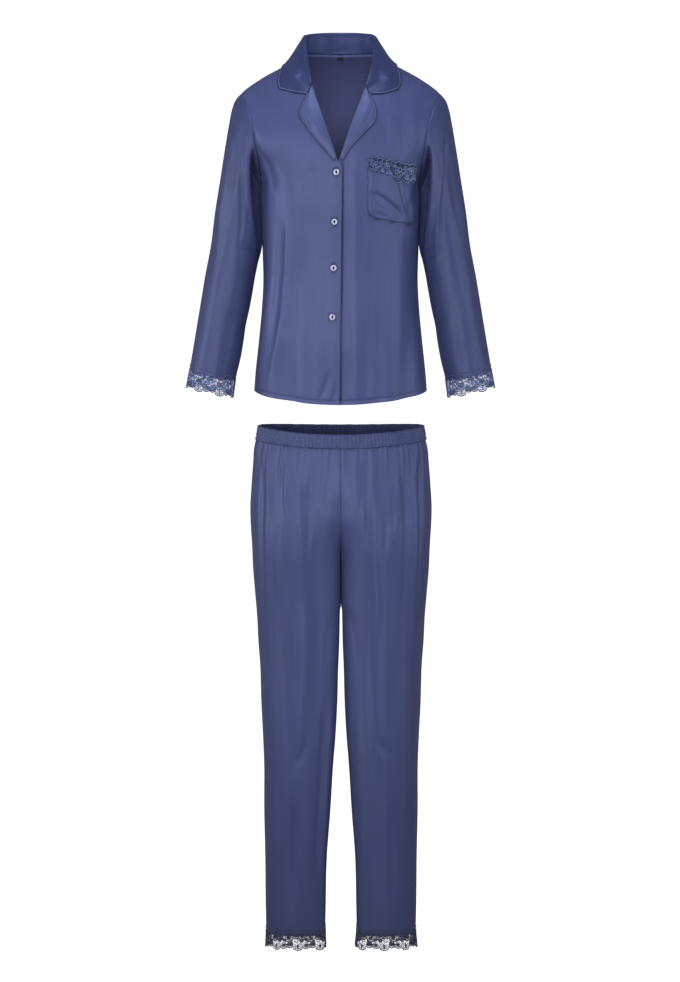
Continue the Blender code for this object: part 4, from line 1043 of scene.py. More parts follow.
def lace_thread(name, colour, roughness):
    """Matt twisted thread: fine slanting ribs and a little change of tone."""
    made = bpy.data.materials.new(name)
    made.use_nodes = True
    nodes, links = made.node_tree.nodes, made.node_tree.links
    shader = nodes["Principled BSDF"]
    place = nodes.new("ShaderNodeTexCoord")
    twist = nodes.new("ShaderNodeTexWave")
    twist.bands_direction = "DIAGONAL"
    twist.inputs["Scale"].default_value = 420
    twist.inputs["Distortion"].default_value = 1.5
    links.new(place.outputs["Object"], twist.inputs["Vector"])
    bump = nodes.new("ShaderNodeBump")
    bump.inputs["Strength"].default_value = 0.35
    bump.inputs["Distance"].default_value = 0.0003
    links.new(twist.outputs["Fac"], bump.inputs["Height"])
    links.new(bump.outputs["Normal"], shader.inputs["Normal"])
    cloud = nodes.new("ShaderNodeTexNoise")
    cloud.inputs["Scale"].default_value = 120
    links.new(place.outputs["Object"], cloud.inputs["Vector"])
    tone = nodes.new("ShaderNodeValToRGB")
    tone.color_ramp.elements[0].color = (*(c * 0.8 for c in colour), 1)
    tone.color_ramp.elements[1].color = (*(c * 1.25 for c in colour), 1)
    links.new(cloud.outputs["Fac"], tone.inputs["Fac"])
    links.new(tone.outputs["Color"], shader.inputs["Base Color"])
    shader.inputs["Roughness"].default_value = roughness
    shader.inputs["Sheen Weight"].default_value = 0.3
    made.diffuse_color = (*colour, 1)
    return made


def lobe_edge(u):
    """How far above the lowest point the scalloped edge is, along the lace."""
    u = np.asarray(u, float) % LACE_REPEAT
    rise = np.zeros(u.shape)
    for start, end, lift in LACE_LOBES:
        t = np.clip((u - start) / (end - start) * 2 - 1, -1, 1)
        here = (u >= start) & (u <= end)
        rise = np.where(here, lift + LOBE_NOTCH * (1 - np.sqrt(1 - 0.98 * t * t)), rise)
    return rise


def ring_path(centre, radius, count=8):
    turns = np.linspace(0, 2 * math.pi, count + 1)
    return np.stack([centre[0] + radius * np.cos(turns), centre[1] + radius * np.sin(turns)], -1)


def leaf_path(base, length, width, degrees, bend=0.0, count=12):
    """Closed outline of a petal or leaf from its base."""
    t = np.concatenate([np.linspace(0, 1, count // 2 + 1), np.linspace(1, 0, count // 2 + 1)[1:]])
    side = np.where(np.arange(len(t)) <= count // 2, 1, -1)
    across = side * width / 2 * np.sin(math.pi * t ** 0.8) + bend * np.sin(math.pi * t)
    a = math.radians(degrees)
    along = t * length
    return np.stack([base[0] + along * math.cos(a) - across * math.sin(a),
                     base[1] + along * math.sin(a) + across * math.cos(a)], -1)


def lace_motif(drop, header):
    """Cords (path, width, height) and filled shapes of one repeat; v runs down from the header."""
    cords, fills = [], []
    k = drop / 37.0

    def flower(centre, size, start, petals=5):
        for p in range(petals):
            angle = start + 360 / petals * p
            a = math.radians(angle)
            base = (centre[0] + size * 0.16 * math.cos(a), centre[1] + size * 0.16 * math.sin(a))
            petal = leaf_path(base, size * 0.88, size * 0.74, angle)
            if p == 0:
                fills.append(petal)
            cords.append((petal, 0.85, 0.75))
            tip = (centre[0] + size * 0.7 * math.cos(a), centre[1] + size * 0.7 * math.sin(a))
            cords.append((np.array([base, tip]), 0.5, 0.6))
        cords.append((ring_path(centre, size * 0.17, 7), 0.8, 0.9))

    def leaf(base, length, width, degrees, bend=0.0):
        outline = leaf_path(base, length, width, degrees, bend)
        fills.append(outline)
        cords.append((outline, 0.95, 0.75))
        a = math.radians(degrees)
        for share in (0.25, 0.5, 0.75):
            middle = np.array([base[0] + share * length * math.cos(a), base[1] + share * length * math.sin(a)])
            half = width * 0.36 * math.sin(math.pi * share)
            slant = np.array([math.cos(a + 1.1), math.sin(a + 1.1)]) * half
            cords.append((np.array([middle - slant, middle + slant]), 0.45, 0.6))

    flower((10.5, 17.5 * k), 9.0 * k, 20)
    flower((32.5, 13.0 * k), 6.2 * k, 50)
    flower((25.0, 25.5 * k), 4.2 * k, 10)
    leaf((19.0, 12.0 * k), 9.5 * k, 4.2 * k, -48, 1.0)
    leaf((20.0, 17.0 * k), 10.5 * k, 4.4 * k, 28, -1.0)
    leaf((37.5, 19.0 * k), 9.5 * k, 4.2 * k, 62, 1.0)
    leaf((34.5, 21.0 * k), 8.5 * k, 3.8 * k, 118, -1.0)
    leaf((1.0, 11.0 * k), 7.5 * k, 3.6 * k, -35, 0.8)
    leaf((42.0, 27.0 * k), 7.0 * k, 3.4 * k, 200, 0.8)
    stem = np.array([(2, 27), (6, 29), (12, 28.5), (17, 23), (20, 17), (24, 12), (29, 8.5), (36, 6.5), (42, 8), (44, 10)])
    cords.append((finer(stem * [1, k], 2), 0.9, 0.8))
    for seed in ((15.5, 6.5), (26.5, 17.5), (40.5, 14.5), (3.0, 21.5), (30.0, 27.5), (18.5, 29.0), (5.0, 6.5)):
        cords.append((ring_path((seed[0], seed[1] * k), 1.2, 6), 0.7, 0.7))
    u = np.linspace(0, LACE_REPEAT, 41)
    for start, end, lift in LACE_LOBES:
        lobe = np.linspace(start + 0.01, end - 0.01, 13)
        edge = drop - lobe_edge(lobe)
        middle = (start + end) / 2
        cords.append((np.stack([lobe, edge], -1), 2.0, 1.0))
        inner = np.stack([middle + (lobe - middle) * 0.72, edge - 2.6 - 0.8 * (edge - edge.min()) * 0.3], -1)
        cords.append((inner, 1.0, 0.8))
        for i in range(1, 12, 2):
            cords.append((np.array([inner[i], (lobe[i], edge[i])]), 0.7, 0.6))
        for lean in (-0.27, 0, 0.27):
            long = (end - start) * 0.52
            petal = leaf_path((middle + lean * (end - start), edge.max() - long - 2.6), long, 3.9,
                              90 - 60 * lean, 0, 8)
            if lean == 0:
                fills.append(petal)
            cords.append((petal, 0.8, 0.7))
    for level, width in {0.9: 1.5, header: 1.6}.items():
        wave = 0.9 * np.sin(u / LACE_REPEAT * 6 * math.pi) + 0.7 * np.sin(u / LACE_REPEAT * 4 * math.pi)
        cords.append((np.stack([u, level + wave], -1), width, 0.8))
    return cords, fills


def net_threads(length, drop, header, pitch):
    """Edges of a hexagon net between header and scallops."""
    side = pitch / math.sqrt(3)
    edges = []
    rows = int((drop - header) / (1.5 * side)) + 1
    for r in range(rows):
        v = header + r * 1.5 * side
        for c in range(int(round(length / pitch))):
            u = (c + 0.5 * (r % 2)) * pitch
            low = (u, v + side / 2)
            if low[1] < drop - lobe_edge(u) - 0.7:
                edges.append(((u - pitch / 2, v), low))
                edges.append((low, (u + pitch / 2, v)))
                if low[1] + side < drop - lobe_edge(u) - 0.7:
                    edges.append((low, (low[0], low[1] + side)))
    return edges


class LaceMesh:
    """Collects cords, net and filled shapes in lace space: u along, v down, w out."""

    def __init__(self):
        self.points, self.faces, self.kinds, self.total = [], [], [], 0

    def add(self, points, faces, kind):
        self.points.append(points)
        self.faces += [tuple(i + self.total for i in face) for face in faces]
        self.kinds += [kind] * len(faces)
        self.total += len(points)

    def cord(self, path, width, height, kind=0, base=0.0):
        path = np.asarray(path, float)
        run = unit(np.gradient(path, axis=0))
        across = np.stack([-run[:, 1], run[:, 0]], -1) * width / 2
        count = len(path)
        edge = np.full((count, 1), base)
        left, right = np.hstack([path - across, edge]), np.hstack([path + across, edge])
        crest = np.hstack([path, edge + height])
        points = np.concatenate([left, crest, right])
        faces = []
        for i in range(count - 1):
            a, b, c = i, count + i, 2 * count + i
            faces += [(a, a + 1, b + 1, b), (b, b + 1, c + 1, c), (c, c + 1, a + 1, a)]
        faces += [(0, count, 2 * count), (3 * count - 1, 2 * count - 1, count - 1)]
        self.add(points, faces, kind)

    def fill(self, outline, base=0.0, kind=1):
        rim = outline[:-1]
        count = len(rim)
        centre = rim.mean(0)
        points = np.concatenate([np.hstack([rim, np.full((count, 1), base)]),
                                 [[*centre, base + 0.45]], [[*centre, base - 0.15]]])
        faces = [(i, (i + 1) % count, count) for i in range(count)]
        faces += [((i + 1) % count, i, count + 1) for i in range(count)]
        self.add(points, faces, kind)


def lace_piece(name, repeats, drop, place, finishes, net_thread=0.46, header=9.0, backed=False):
    """A length of lace laid by place(share along, v, w), which gives points in mm."""
    lace = LaceMesh()
    cords, fills = lace_motif(drop, header)
    if backed:
        cords = [(path, min(width, 0.72), height) for path, width, height in cords if width > 0.82]
        fills = []
    for r in range(repeats):
        shift = np.array([r * LACE_REPEAT, 0.0])
        for path, width, height in cords:
            lace.cord(path + shift, width, height)
        for outline in fills:
            lace.fill(outline + shift)
    for edge in net_threads(repeats * LACE_REPEAT, drop, header, LACE_NET * (3 if backed else 1)):
        lace.cord(edge, net_thread, 0.25, kind=0 if backed else 1, base=-0.05)
    flat = np.concatenate(lace.points)
    points = place(flat[:, 0] / (repeats * LACE_REPEAT), flat[:, 1], flat[:, 2])
    mesh = bpy.data.meshes.new(name)
    mesh.from_pydata((points * MM).tolist(), [], lace.faces)
    for finish in finishes:
        mesh.materials.append(finish)
    mesh.polygons.foreach_set("material_index", lace.kinds)
    mesh.polygons.foreach_set("use_smooth", np.zeros(len(lace.faces), bool))
    mesh.update()
    piece = bpy.data.objects.new(name, mesh)
    bpy.context.collection.objects.link(piece)
    return piece


lace_cord = lace_thread("lace cord", (0.048, 0.072, 0.205), 0.6)
lace_ground = lace_thread("lace ground", (0.27, 0.36, 0.68), 0.75)
pocket_cord = lace_thread("pocket lace cord", (0.25, 0.33, 0.66), 0.5)
# Near-black colour of the tulle under the pocket lace: painted shade in the lace's gaps.
pocket_shade_tulle_colour = lace_thread("pocket lace tulle, painted shade", (0.008, 0.015, 0.065), 0.8)


def on_pocket(along, v, w):
    across = 52.2 + along * 89.3
    length = np.interp(across, POCKET["across"], POCKET["bottom"]) - np.interp(across, POCKET_TOP["across"], POCKET_TOP["height"])
    down = (v + 0.5) * (1 + 0.36 * ease(along / 0.75)) - 3.5 * (1 - along)
    return pocket_point(across, down / -length, 0.5 + w)[0]


pocket_lace = lace_piece("pocket_lace_strip", 2, 30, on_pocket, (pocket_cord, pocket_shade_tulle_colour), net_thread=0.34,
                         header=0.9, backed=True)
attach(pocket_lace, "root")
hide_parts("pocket_lace")
# A dark tulle under the pocket lace. Its near-black colour is painted shade in the lace's gaps, and its margins
# past the scallops and above the header are a painted shadow line under the lace.
tulle_run = np.linspace(0.4, 2 * LACE_REPEAT - 0.4, 84)[None, :]
tulle_level = np.linspace(0, 1, 8)[:, None]
tulle_top = -0.4 + 0.9 * np.sin(tulle_run / LACE_REPEAT * 6 * math.pi)
tulle_down = tulle_top + (30 + 0.9 - lobe_edge(tulle_run) - tulle_top) * tulle_level
points = on_pocket(tulle_run / (2 * LACE_REPEAT) + 0 * tulle_level, tulle_down, -0.12 + 0 * tulle_down)
facing = pocket_point(52.2 + tulle_run / (2 * LACE_REPEAT) * 89.3, 0.1 + 0 * tulle_down)[1]
tulle = cloth("pocket_lace_painted_shade_tulle", points, facing, (pocket_shade_tulle_colour, pocket_shade_tulle_colour), thickness=0.2)
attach(tulle, "root")

HEADER_LAP = 5.0


def on_cuff(side):
    turns = np.linspace(0, 2 * math.pi, 721)
    ring = sleeve_surface(turns, np.ones(721), side)[0]
    run = np.concatenate([[0], np.cumsum(np.linalg.norm(np.diff(ring, axis=0), axis=1))])

    def place(along, v, w):
        turn = np.interp(along * run[-1], run, turns)
        down = v - HEADER_LAP
        share = 1 + np.minimum(down, 0) / SLEEVE_LENGTH
        base, normal = sleeve_surface(turn, share, side)
        hang = np.maximum(down, 0)[:, None]
        flutter = 1.3 * np.sin(turn * 9 + 0.8 * np.sin(turn * 4)) * np.clip(hang[:, 0] / CUFF_DROP, 0, 1)
        base = base + hang * np.array([CUFF_LEAN, 0, -CUFF_DROP]) / CUFF_DROP
        return (base + normal * (w + 0.35 + flutter)[:, None]) * [side, 1, 1]

    return place


for wearer_side in (RIGHT, LEFT):
    side_name = SIDE_NAMES[wearer_side]
    cuff_lace = lace_piece(f"cuff_lace_{side_name}", 7, CUFF_DROP + HEADER_LAP, on_cuff(wearer_side),
                           (lace_cord, lace_ground))
    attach(cuff_lace, "root")
    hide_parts(f"cuff_lace_{side_name}_front", f"cuff_lace_{side_name}_back")

# --- Buttons and buttonholes -------------------------------------------------------
# Four pearly moulded buttons, each with a raised rim and an eye sunk across its middle,
# sewn through two holes. A buttonhole in close satin stitch lies under each one.
BUTTONS = {"across": (-7.9, -11.3, -13.0, -15.4), "height": (-219.8, -313.1, -400.4, -492.8)}
BUTTON_RADIUS = 5.6


def applied(piece, modifier):
    bpy.context.view_layer.objects.active = piece
    bpy.ops.object.modifier_apply(modifier=modifier.name)


def cut_by(piece, cutter):
    cut = piece.modifiers.new("cut", "BOOLEAN")
    cut.object = cutter
    cut.operation = "DIFFERENCE"
    applied(piece, cut)
    bpy.data.objects.remove(cutter, do_unlink=True)


def plain(name, colour, roughness, noise_scale=60, change=0.15):
    made = bpy.data.materials.new(name)
    made.use_nodes = True
    nodes, links = made.node_tree.nodes, made.node_tree.links
    place = nodes.new("ShaderNodeTexCoord")
    cloud = nodes.new("ShaderNodeTexNoise")
    cloud.inputs["Scale"].default_value = noise_scale
    cloud.inputs["Detail"].default_value = 4
    tone = nodes.new("ShaderNodeValToRGB")
    tone.color_ramp.elements[0].position = 0.35
    tone.color_ramp.elements[1].position = 0.65
    tone.color_ramp.elements[0].color = (*(c * (1 - change) for c in colour), 1)
    tone.color_ramp.elements[1].color = (*(min(c * (1 + change), 1) for c in colour), 1)
    links.new(place.outputs["Object"], cloud.inputs["Vector"])
    links.new(cloud.outputs["Fac"], tone.inputs["Fac"])
    links.new(tone.outputs["Color"], nodes["Principled BSDF"].inputs["Base Color"])
    nodes["Principled BSDF"].inputs["Roughness"].default_value = roughness
    made.diffuse_color = (*colour, 1)
    return made


pearl = plain("pearly button", (0.50, 0.58, 0.80), 0.16, 260, 0.25)
pearl.node_tree.nodes["Principled BSDF"].inputs["Coat Weight"].default_value = 0.8
pearl.node_tree.nodes["Principled BSDF"].inputs["Coat Roughness"].default_value = 0.08
pearl.node_tree.nodes["Principled BSDF"].inputs["Sheen Weight"].default_value = 0.4
sewing_thread = plain("sewing thread", (0.035, 0.045, 0.12), 0.6, 300)

bpy.ops.object.select_all(action="DESELECT")
bpy.ops.mesh.primitive_cylinder_add(vertices=48, radius=BUTTON_RADIUS * MM, depth=2.2 * MM,
                                    location=(0, 0, 1.2 * MM))
button_blank = bpy.context.object
soften = button_blank.modifiers.new("soften", "BEVEL")
soften.width = 0.7 * MM
soften.segments = 3
applied(button_blank, soften)
bpy.ops.mesh.primitive_uv_sphere_add(segments=32, ring_count=16, radius=1, location=(0, 0, 4.4 * MM))
dish = bpy.context.object
dish.scale = (4.3 * MM, 4.3 * MM, 2.8 * MM)
cut_by(button_blank, dish)
bpy.ops.mesh.primitive_uv_sphere_add(segments=24, ring_count=12, radius=1, location=(0, 0, 2.2 * MM))
eye = bpy.context.object
eye.scale = (2.1 * MM, 3.9 * MM, 2.6 * MM)
cut_by(button_blank, eye)
for offset in (-0.9, 0.9):
    bpy.ops.mesh.primitive_cylinder_add(vertices=16, radius=0.5 * MM, depth=8 * MM,
                                        location=(0, offset * MM, 0))
    cut_by(button_blank, bpy.context.object)
button_blank.data.materials.append(pearl)
bpy.ops.object.select_all(action="DESELECT")
button_blank.select_set(True)
bpy.context.view_layer.objects.active = button_blank
bpy.ops.object.transform_apply(location=True, rotation=True, scale=True)
bpy.ops.object.shade_smooth_by_angle(angle=math.radians(35))

bpy.ops.mesh.primitive_torus_add(major_radius=1.9 * MM, minor_radius=1.35 * MM, major_segments=20,
                                 minor_segments=8, rotation=(0, math.pi / 2, 0),
                                 location=(0, 0, 0.6 * MM))
thread_blank = bpy.context.object
thread_blank.scale = (0.55, 1.0, 1.0)
bpy.ops.object.transform_apply(location=True, rotation=True, scale=True)
# The thread in the eye is navy made near-black: painted shade in the sunk eye.
thread_blank.data.materials.append(plain("button thread, painted shade", (0.008, 0.010, 0.03), 0.7, 300))

bpy.ops.mesh.primitive_torus_add(major_radius=1.0 * MM, minor_radius=0.45 * MM, major_segments=48,
                                 minor_segments=8)
hole_blank = bpy.context.object
hole_blank.scale = (1.1, 6.6, 0.6)
bpy.ops.object.transform_apply(location=True, rotation=True, scale=True)
hole_blank.data.materials.append(sewing_thread)

for number, (across, height) in enumerate(zip(BUTTONS["across"], BUTTONS["height"]), 1):
    at, facing = body_point(across, height, FRONT)
    turn = Vector(facing).to_track_quat("Z", "Y").to_matrix().to_4x4()
    for blank, name, lift in ((button_blank, "button", 0.5), (thread_blank, "button_thread", 0.6),
                              (hole_blank, "buttonhole", 0.15)):
        fitted = bpy.data.objects.new(f"{name}_{number}_fitted", blank.data.copy())
        bpy.context.collection.objects.link(fitted)
        turn.translation = Vector(at + facing * lift) * MM
        fitted.data.transform(turn)
        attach(fitted, "root")
        if name == "button":
            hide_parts(f"button_{number}")
    # Painted shadow on the right front in a ring round each button.
    turns = np.linspace(0, 2 * math.pi, 24)
    ring, _ = body_point(across + 6.1 * np.cos(turns), height + 6.1 * np.sin(turns), FRONT)
    shade_beside(front_satins[RIGHT], ring, 2.2)
for blank in (button_blank, thread_blank, hole_blank):
    bpy.data.objects.remove(blank, do_unlink=True)

# --- Trouser legs -----------------------------------------------------------------
# Four satin panels with seams down the sides, centre and inside of the legs. They are
# gathered into the waist and fall in long folds; the crotch pulls soft creases.
TROUSER_CENTRE = 0.9
TROUSERS = {
    "height": (-733, -751, -774, -820, -866, -888, -934, -980, -1026, -1072, -1118, -1163,
               -1232, -1301, -1347, -1440, -1532, -1624, -1671),
    "outer": (160.5, 164.8, 166.8, 170.2, 172.6, 172, 169.2, 167.2, 163.4, 159.6, 157.4, 154,
              152, 148.6, 146.8, 146.6, 144.8, 144, 143),
    "inner": (0, 0, 0, 0, 0, 0, 0, 0, 0.1, 1.0, 1.9, 3.8,
              5.7, 9.5, 13.3, 19, 25.7, 27.7, 28.6),
    "front": (106, 108, 110, 113, 115, 115, 113, 108, 103, 99, 96, 93,
              89, 85, 81, 73, 65, 60, 58),
    "back": (112, 117, 123, 131, 136, 136, 131, 120, 111, 105, 101, 97,
             92, 87, 83, 75, 67, 62, 60),
}
CROTCH_TOP, CROTCH, LEG_PARTING = -880, -978, -1046
WAIST_SEAM, TROUSER_HEM = -733, -1677
WAIST_DROP = {FRONT: 10, BACK: 7}
GATHERS = 15
GATHER_DEPTH = 5.2
GATHER_LENGTHS = (60, 100, 75, 90, 50, 110, 65, 85, 55, 90, 70, 100, 45, 80, 60)
TROUSER_FOLDS = {
    RIGHT: ((-74, -1180, 4.5), (-40, -1500, -4.0), (-14, -1080, 3.5)),
    LEFT: ((74, -1450, 4.0), (38, -1250, -4.5), (14, -1060, 3.5)),
}
# Creases of each leg's front and back: path across and down, height and half width.
TROUSER_CREASES = {
    (RIGHT, FRONT): (
        (((-147, -745), (-151, -900), (-146, -1100)), -5.6, 6),
        (((-136, -745), (-139, -900), (-133, -1150)), 4.2, 7),
        (((-122, -745), (-128, -950), (-118, -1250)), -4.2, 7),
        (((-101, -735), (-104, -800), (-102, -900)), 4.2, 4.5),
        (((-76, -740), (-77, -860), (-74, -1040)), 3.9, 5),
        (((-54, -750), (-60, -850), (-66, -980)), -3.6, 6),
        (((-31, -735), (-33, -790), (-36, -860)), 3.4, 4.5),
        (((-8, -1040), (-22, -1090), (-30, -1180)), -2.2, 7),
        (((-64, -1000), (-70, -1150), (-84, -1350)), 2.5, 9),
        (((-14, -1180), (-20, -1300), (-28, -1420), (-38, -1620)), 4.8, 6),
        (((-26, -1180), (-34, -1320), (-42, -1450), (-52, -1620)), -4.2, 7),
        (((-100, -1060), (-104, -1200), (-96, -1400)), -2.8, 9),
        (((-60, -1280), (-74, -1330), (-96, -1350)), -1.8, 8),
        (((-92, -1380), (-90, -1500), (-94, -1650)), -3.2, 8),
        (((-122, -1200), (-120, -1400), (-124, -1640)), 3.0, 8),
    ),
    (LEFT, FRONT): (
        (((147, -740), (151, -880), (149, -1000), (143, -1090)), -7.8, 4.5),
        (((138, -745), (142, -900), (137, -1120)), 4.5, 6),
        (((122, -745), (124, -900), (118, -1100)), -3.6, 7),
        (((104, -740), (107, -820), (104, -930)), 3.6, 5),
        (((84, -745), (86, -830), (84, -960)), -3.1, 6),
        (((61, -800), (63, -950), (69, -1040), (66, -1160)), 4.2, 5),
        (((46, -745), (50, -840), (54, -960)), -3.6, 6),
        (((26, -735), (28, -790), (32, -860)), 3.1, 4.5),
        (((10, -1040), (24, -1090), (32, -1180)), -2.2, 7),
        (((30, -1180), (34, -1350), (46, -1600)), 3.6, 7),
        (((54, -1060), (62, -1250), (74, -1450)), -3.0, 8),
        (((62, -1290), (84, -1322), (108, -1330)), -1.8, 8),
        (((96, -1400), (98, -1500), (96, -1640)), -3.2, 8),
        (((120, -1150), (124, -1300), (118, -1500)), 3.2, 8),
    ),
    (RIGHT, BACK): (
        (((-140, -745), (-146, -900), (-138, -1100)), 3.3, 12),
        (((-96, -745), (-104, -900), (-96, -1080)), -3.6, 12),
        (((-50, -745), (-56, -850), (-60, -960)), 2.7, 10),
        (((-4, -950), (-44, -990), (-100, -1000)), -4.5, 11),
        (((-8, -1000), (-40, -1040), (-90, -1060)), -3.3, 10),
        (((-70, -1080), (-76, -1300), (-80, -1600)), 3.6, 14),
        (((-40, -1300), (-84, -1330), (-120, -1310)), -2.7, 10),
    ),
    (LEFT, BACK): (
        (((140, -745), (146, -900), (138, -1100)), 3.3, 12),
        (((100, -745), (104, -900), (98, -1080)), -3.6, 12),
        (((52, -745), (58, -850), (60, -960)), 2.7, 10),
        (((6, -950), (44, -985), (100, -992)), -4.5, 11),
        (((8, -1000), (42, -1044), (92, -1070)), -3.3, 10),
        (((74, -1080), (76, -1300), (82, -1600)), 3.6, 14),
        (((44, -1310), (86, -1338), (120, -1320)), -2.7, 10),
    ),
}


def trouser_line(column, height):
    return smooth(TROUSERS["height"], TROUSERS[column], height)


def leg_inner(height):
    return (trouser_line("inner", height) + 1.2) * ease((LEG_PARTING - height) / 9)


def waist_drop(share, height, face):
    fade = 1 - ease((WAIST_SEAM - height) / (WAIST_SEAM - CROTCH_TOP))
    return WAIST_DROP[face] * np.sin(share * math.pi / 2) ** 2 * fade


def trouser_form(share, height, side, face):
    """Point at a share of the way from the side seam to the centre seam or inseam."""
    outer = trouser_line("outer", height)
    inner = leg_inner(height)
    depth = trouser_line("front" if face == FRONT else "back", height)
    fall = ease((CROTCH_TOP + 90 - height) / (CROTCH_TOP + 105 - CROTCH))
    last_turn = (1 + fall) * math.pi / 2
    width = (outer - inner) / (1 - np.cos(last_turn))
    across = outer - width + width * np.cos(share * last_turn)
    away = np.sin(share * last_turn)
    boxy = 0.72 * ease(2.6 * fall) * (share * last_turn > math.pi / 2)
    away = depth * np.sign(away) * np.abs(away) ** (1 - boxy)
    return columns_of(TROUSER_CENTRE + side * across, face * away, height - waist_drop(share, height, face))


def trouser_normal(share, height, side, face):
    step = 0.01
    around = trouser_form(share + step, height, side, face) - trouser_form(share - step, height, side, face)
    along = trouser_form(share, height + 1, side, face) - trouser_form(share, height - 1, side, face)
    return unit(np.cross(around, along)) * (side * face)


def gathers(share, below, side, face):
    """Ridges under the waist seam, uneven in place, height and length."""
    out = np.zeros(np.broadcast(share, below).shape)
    for i, length in enumerate(GATHER_LENGTHS):
        shift = math.sin(i * 2.4 + side + 2 * face)
        centre = (i + 0.5 + 0.3 * shift) / GATHERS
        fade = np.clip(1 - below / (length * (1 + 0.2 * shift)), 0, 1) ** 1.3
        width = (0.18 + 0.2 * np.clip(below / 120, 0, 1)) / GATHERS
        out = out + GATHER_DEPTH * (0.8 + 0.3 * shift) * fade * np.exp(-(((share - centre) / width) ** 2))
    return out - 0.8 * GATHER_DEPTH * 0.45 * np.clip(1 - below / 60, 0, 1)


def trouser_grid(side, face):
    below = (WAIST_SEAM - TROUSER_HEM) * np.linspace(0, 1, 191)[:, None] ** 1.25
    height = WAIST_SEAM - below
    share = np.linspace(0, 1, 105 if face == FRONT else 41)[None, :]
    form, facing = trouser_form(share, height, side, face), trouser_normal(share, height, side, face)
    across = form[..., 0]
    out = gathers(share, below, side, face) * np.sin(math.pi * np.clip(share, 0.03, 0.97)) ** 0.5
    for place, end, depth in TROUSER_FOLDS[side]:
        place = place if face == FRONT else place * 0.8
        along = np.clip((height - end) / (WAIST_SEAM - end), 0, 1)
        bulge = np.exp(-(((across - place) / 19) ** 2))
        out = out + depth * np.sin(math.pi * along) * bulge * np.sin(math.pi * share)
    out = out + creased(across, height, TROUSER_CREASES[side, face]) * np.sin(math.pi * share) ** 0.5
    grid = form + facing * out[..., None]
    grid[..., 1] = face * np.maximum(face * grid[..., 1], 0.02)
    reach = np.maximum(side * (grid[..., 0] - TROUSER_CENTRE), leg_inner(height))
    grid[..., 0] = TROUSER_CENTRE + side * reach
    grid = seam_roll(grid, facing, "first", 0.9, 3.0)
    grid = seam_roll(grid, facing, "last", 0.4 * ease((height - CROTCH_TOP) / 40), 3.0)
    grid[:, -1, 0] = TROUSER_CENTRE + side * leg_inner(height[:, 0])
    grid, facing = grid[::-1], facing[::-1]
    return turned_in(grid, facing, ("first", "last", "top"), 4.0)


# The trousers' satin is made darker than the top's, though the set is one cloth: painted shade for the dimmer
# light low on the set.
trouser_darkened_satin = satin("trouser satin", (0.062, 0.075, 0.190), 0.44)
for wearer_side in (RIGHT, LEFT):
    for face, face_name in ((FRONT, "front"), (BACK, "back")):
        leg_name = f"trouser_{face_name}_{SIDE_NAMES[wearer_side]}"
        leg = cloth(leg_name + "_satin", *trouser_grid(wearer_side, face), (trouser_darkened_satin, satin_inside))
        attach(leg, "root")
        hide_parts(leg_name)

# --- Waistband --------------------------------------------------------------------
# A casing of the same satin folded over wide elastic, which draws it up in fine even
# ribs. Rows of elastic stitching pinch the ribs, outside and inside.
BAND_HEIGHT = 26.7
BAND_RIBS = 132
BAND_TAPER = 4.5
BAND_FOLD = 2.4


def waistband_grid():
    turns = np.linspace(0, 2 * math.pi, BAND_RIBS * 5 + 1)[:-1][None, :]
    half = trouser_line("outer", WAIST_SEAM)
    depth = np.where(np.sin(turns) > 0, trouser_line("front", WAIST_SEAM), trouser_line("back", WAIST_SEAM))
    drop = np.where(np.sin(turns) > 0, WAIST_DROP[FRONT], WAIST_DROP[BACK]) * np.sin(turns) ** 2
    out = unit(columns_of(depth * np.cos(turns), -half * np.sin(turns), 0))
    levels = [(0.0, -1.4, 0.2), (0.0, 0.4, 1), (0.06, 0.9, 1), (0.16, 0.5, 1), (0.24, -0.1, 0.8), (0.32, 0.5, 1),
              (0.42, 0.8, 1), (0.5, 0.0, 0.8), (0.58, 0.7, 1), (0.68, 0.6, 1), (0.76, -0.1, 0.8), (0.84, 0.6, 1),
              (0.93, 0.5, 1), (0.98, 0.0, 0.8), (1.0, -BAND_FOLD / 2, 0.6), (0.98, -BAND_FOLD, 0.6),
              (0.9, -BAND_FOLD - 0.5, 1), (0.76, -BAND_FOLD + 0.1, 0.8), (0.63, -BAND_FOLD - 0.5, 1),
              (0.5, -BAND_FOLD, 0.8), (0.37, -BAND_FOLD - 0.5, 1), (0.24, -BAND_FOLD + 0.1, 0.8),
              (0.1, -BAND_FOLD - 0.4, 1), (-0.06, -BAND_FOLD, 0.8)]
    rows = []
    for level, lift, ribbing in levels:
        narrow = BAND_TAPER * level
        wobble = 0.35 * np.sin(turns * 23 + level * 4) + 0.3 * np.sin(turns * 41 - level * 7)
        rib = np.abs(np.sin(turns * BAND_RIBS / 2 + 0.5 * wobble)) * 2.0 + 0.3 * wobble
        inward = 1 if lift > -BAND_FOLD / 2 - 0.2 else -1.2
        ring = columns_of(TROUSER_CENTRE + (half - narrow) * np.cos(turns), -(depth - narrow) * np.sin(turns),
                          WAIST_SEAM + level * BAND_HEIGHT - drop + 0.35 * wobble * (level == 1))
        rows.append(ring + out * (lift + inward * ribbing * rib)[..., None])
    grid = np.concatenate(rows)
    facing = np.concatenate([out] * 14 + [0 * out + [0, 0, 1.0]] + [-out] * 9)
    return grid, facing


# The casing's satin is made darker than the trousers', though it is the same cloth: painted shade on the gathered
# band.
band_darkened_satin = satin("waistband satin", (0.051, 0.064, 0.163), 0.42)
waistband = cloth("waistband_casing", *waistband_grid(), (band_darkened_satin, satin_inside), True, 0.4)
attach(waistband, "root")
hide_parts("waistband")

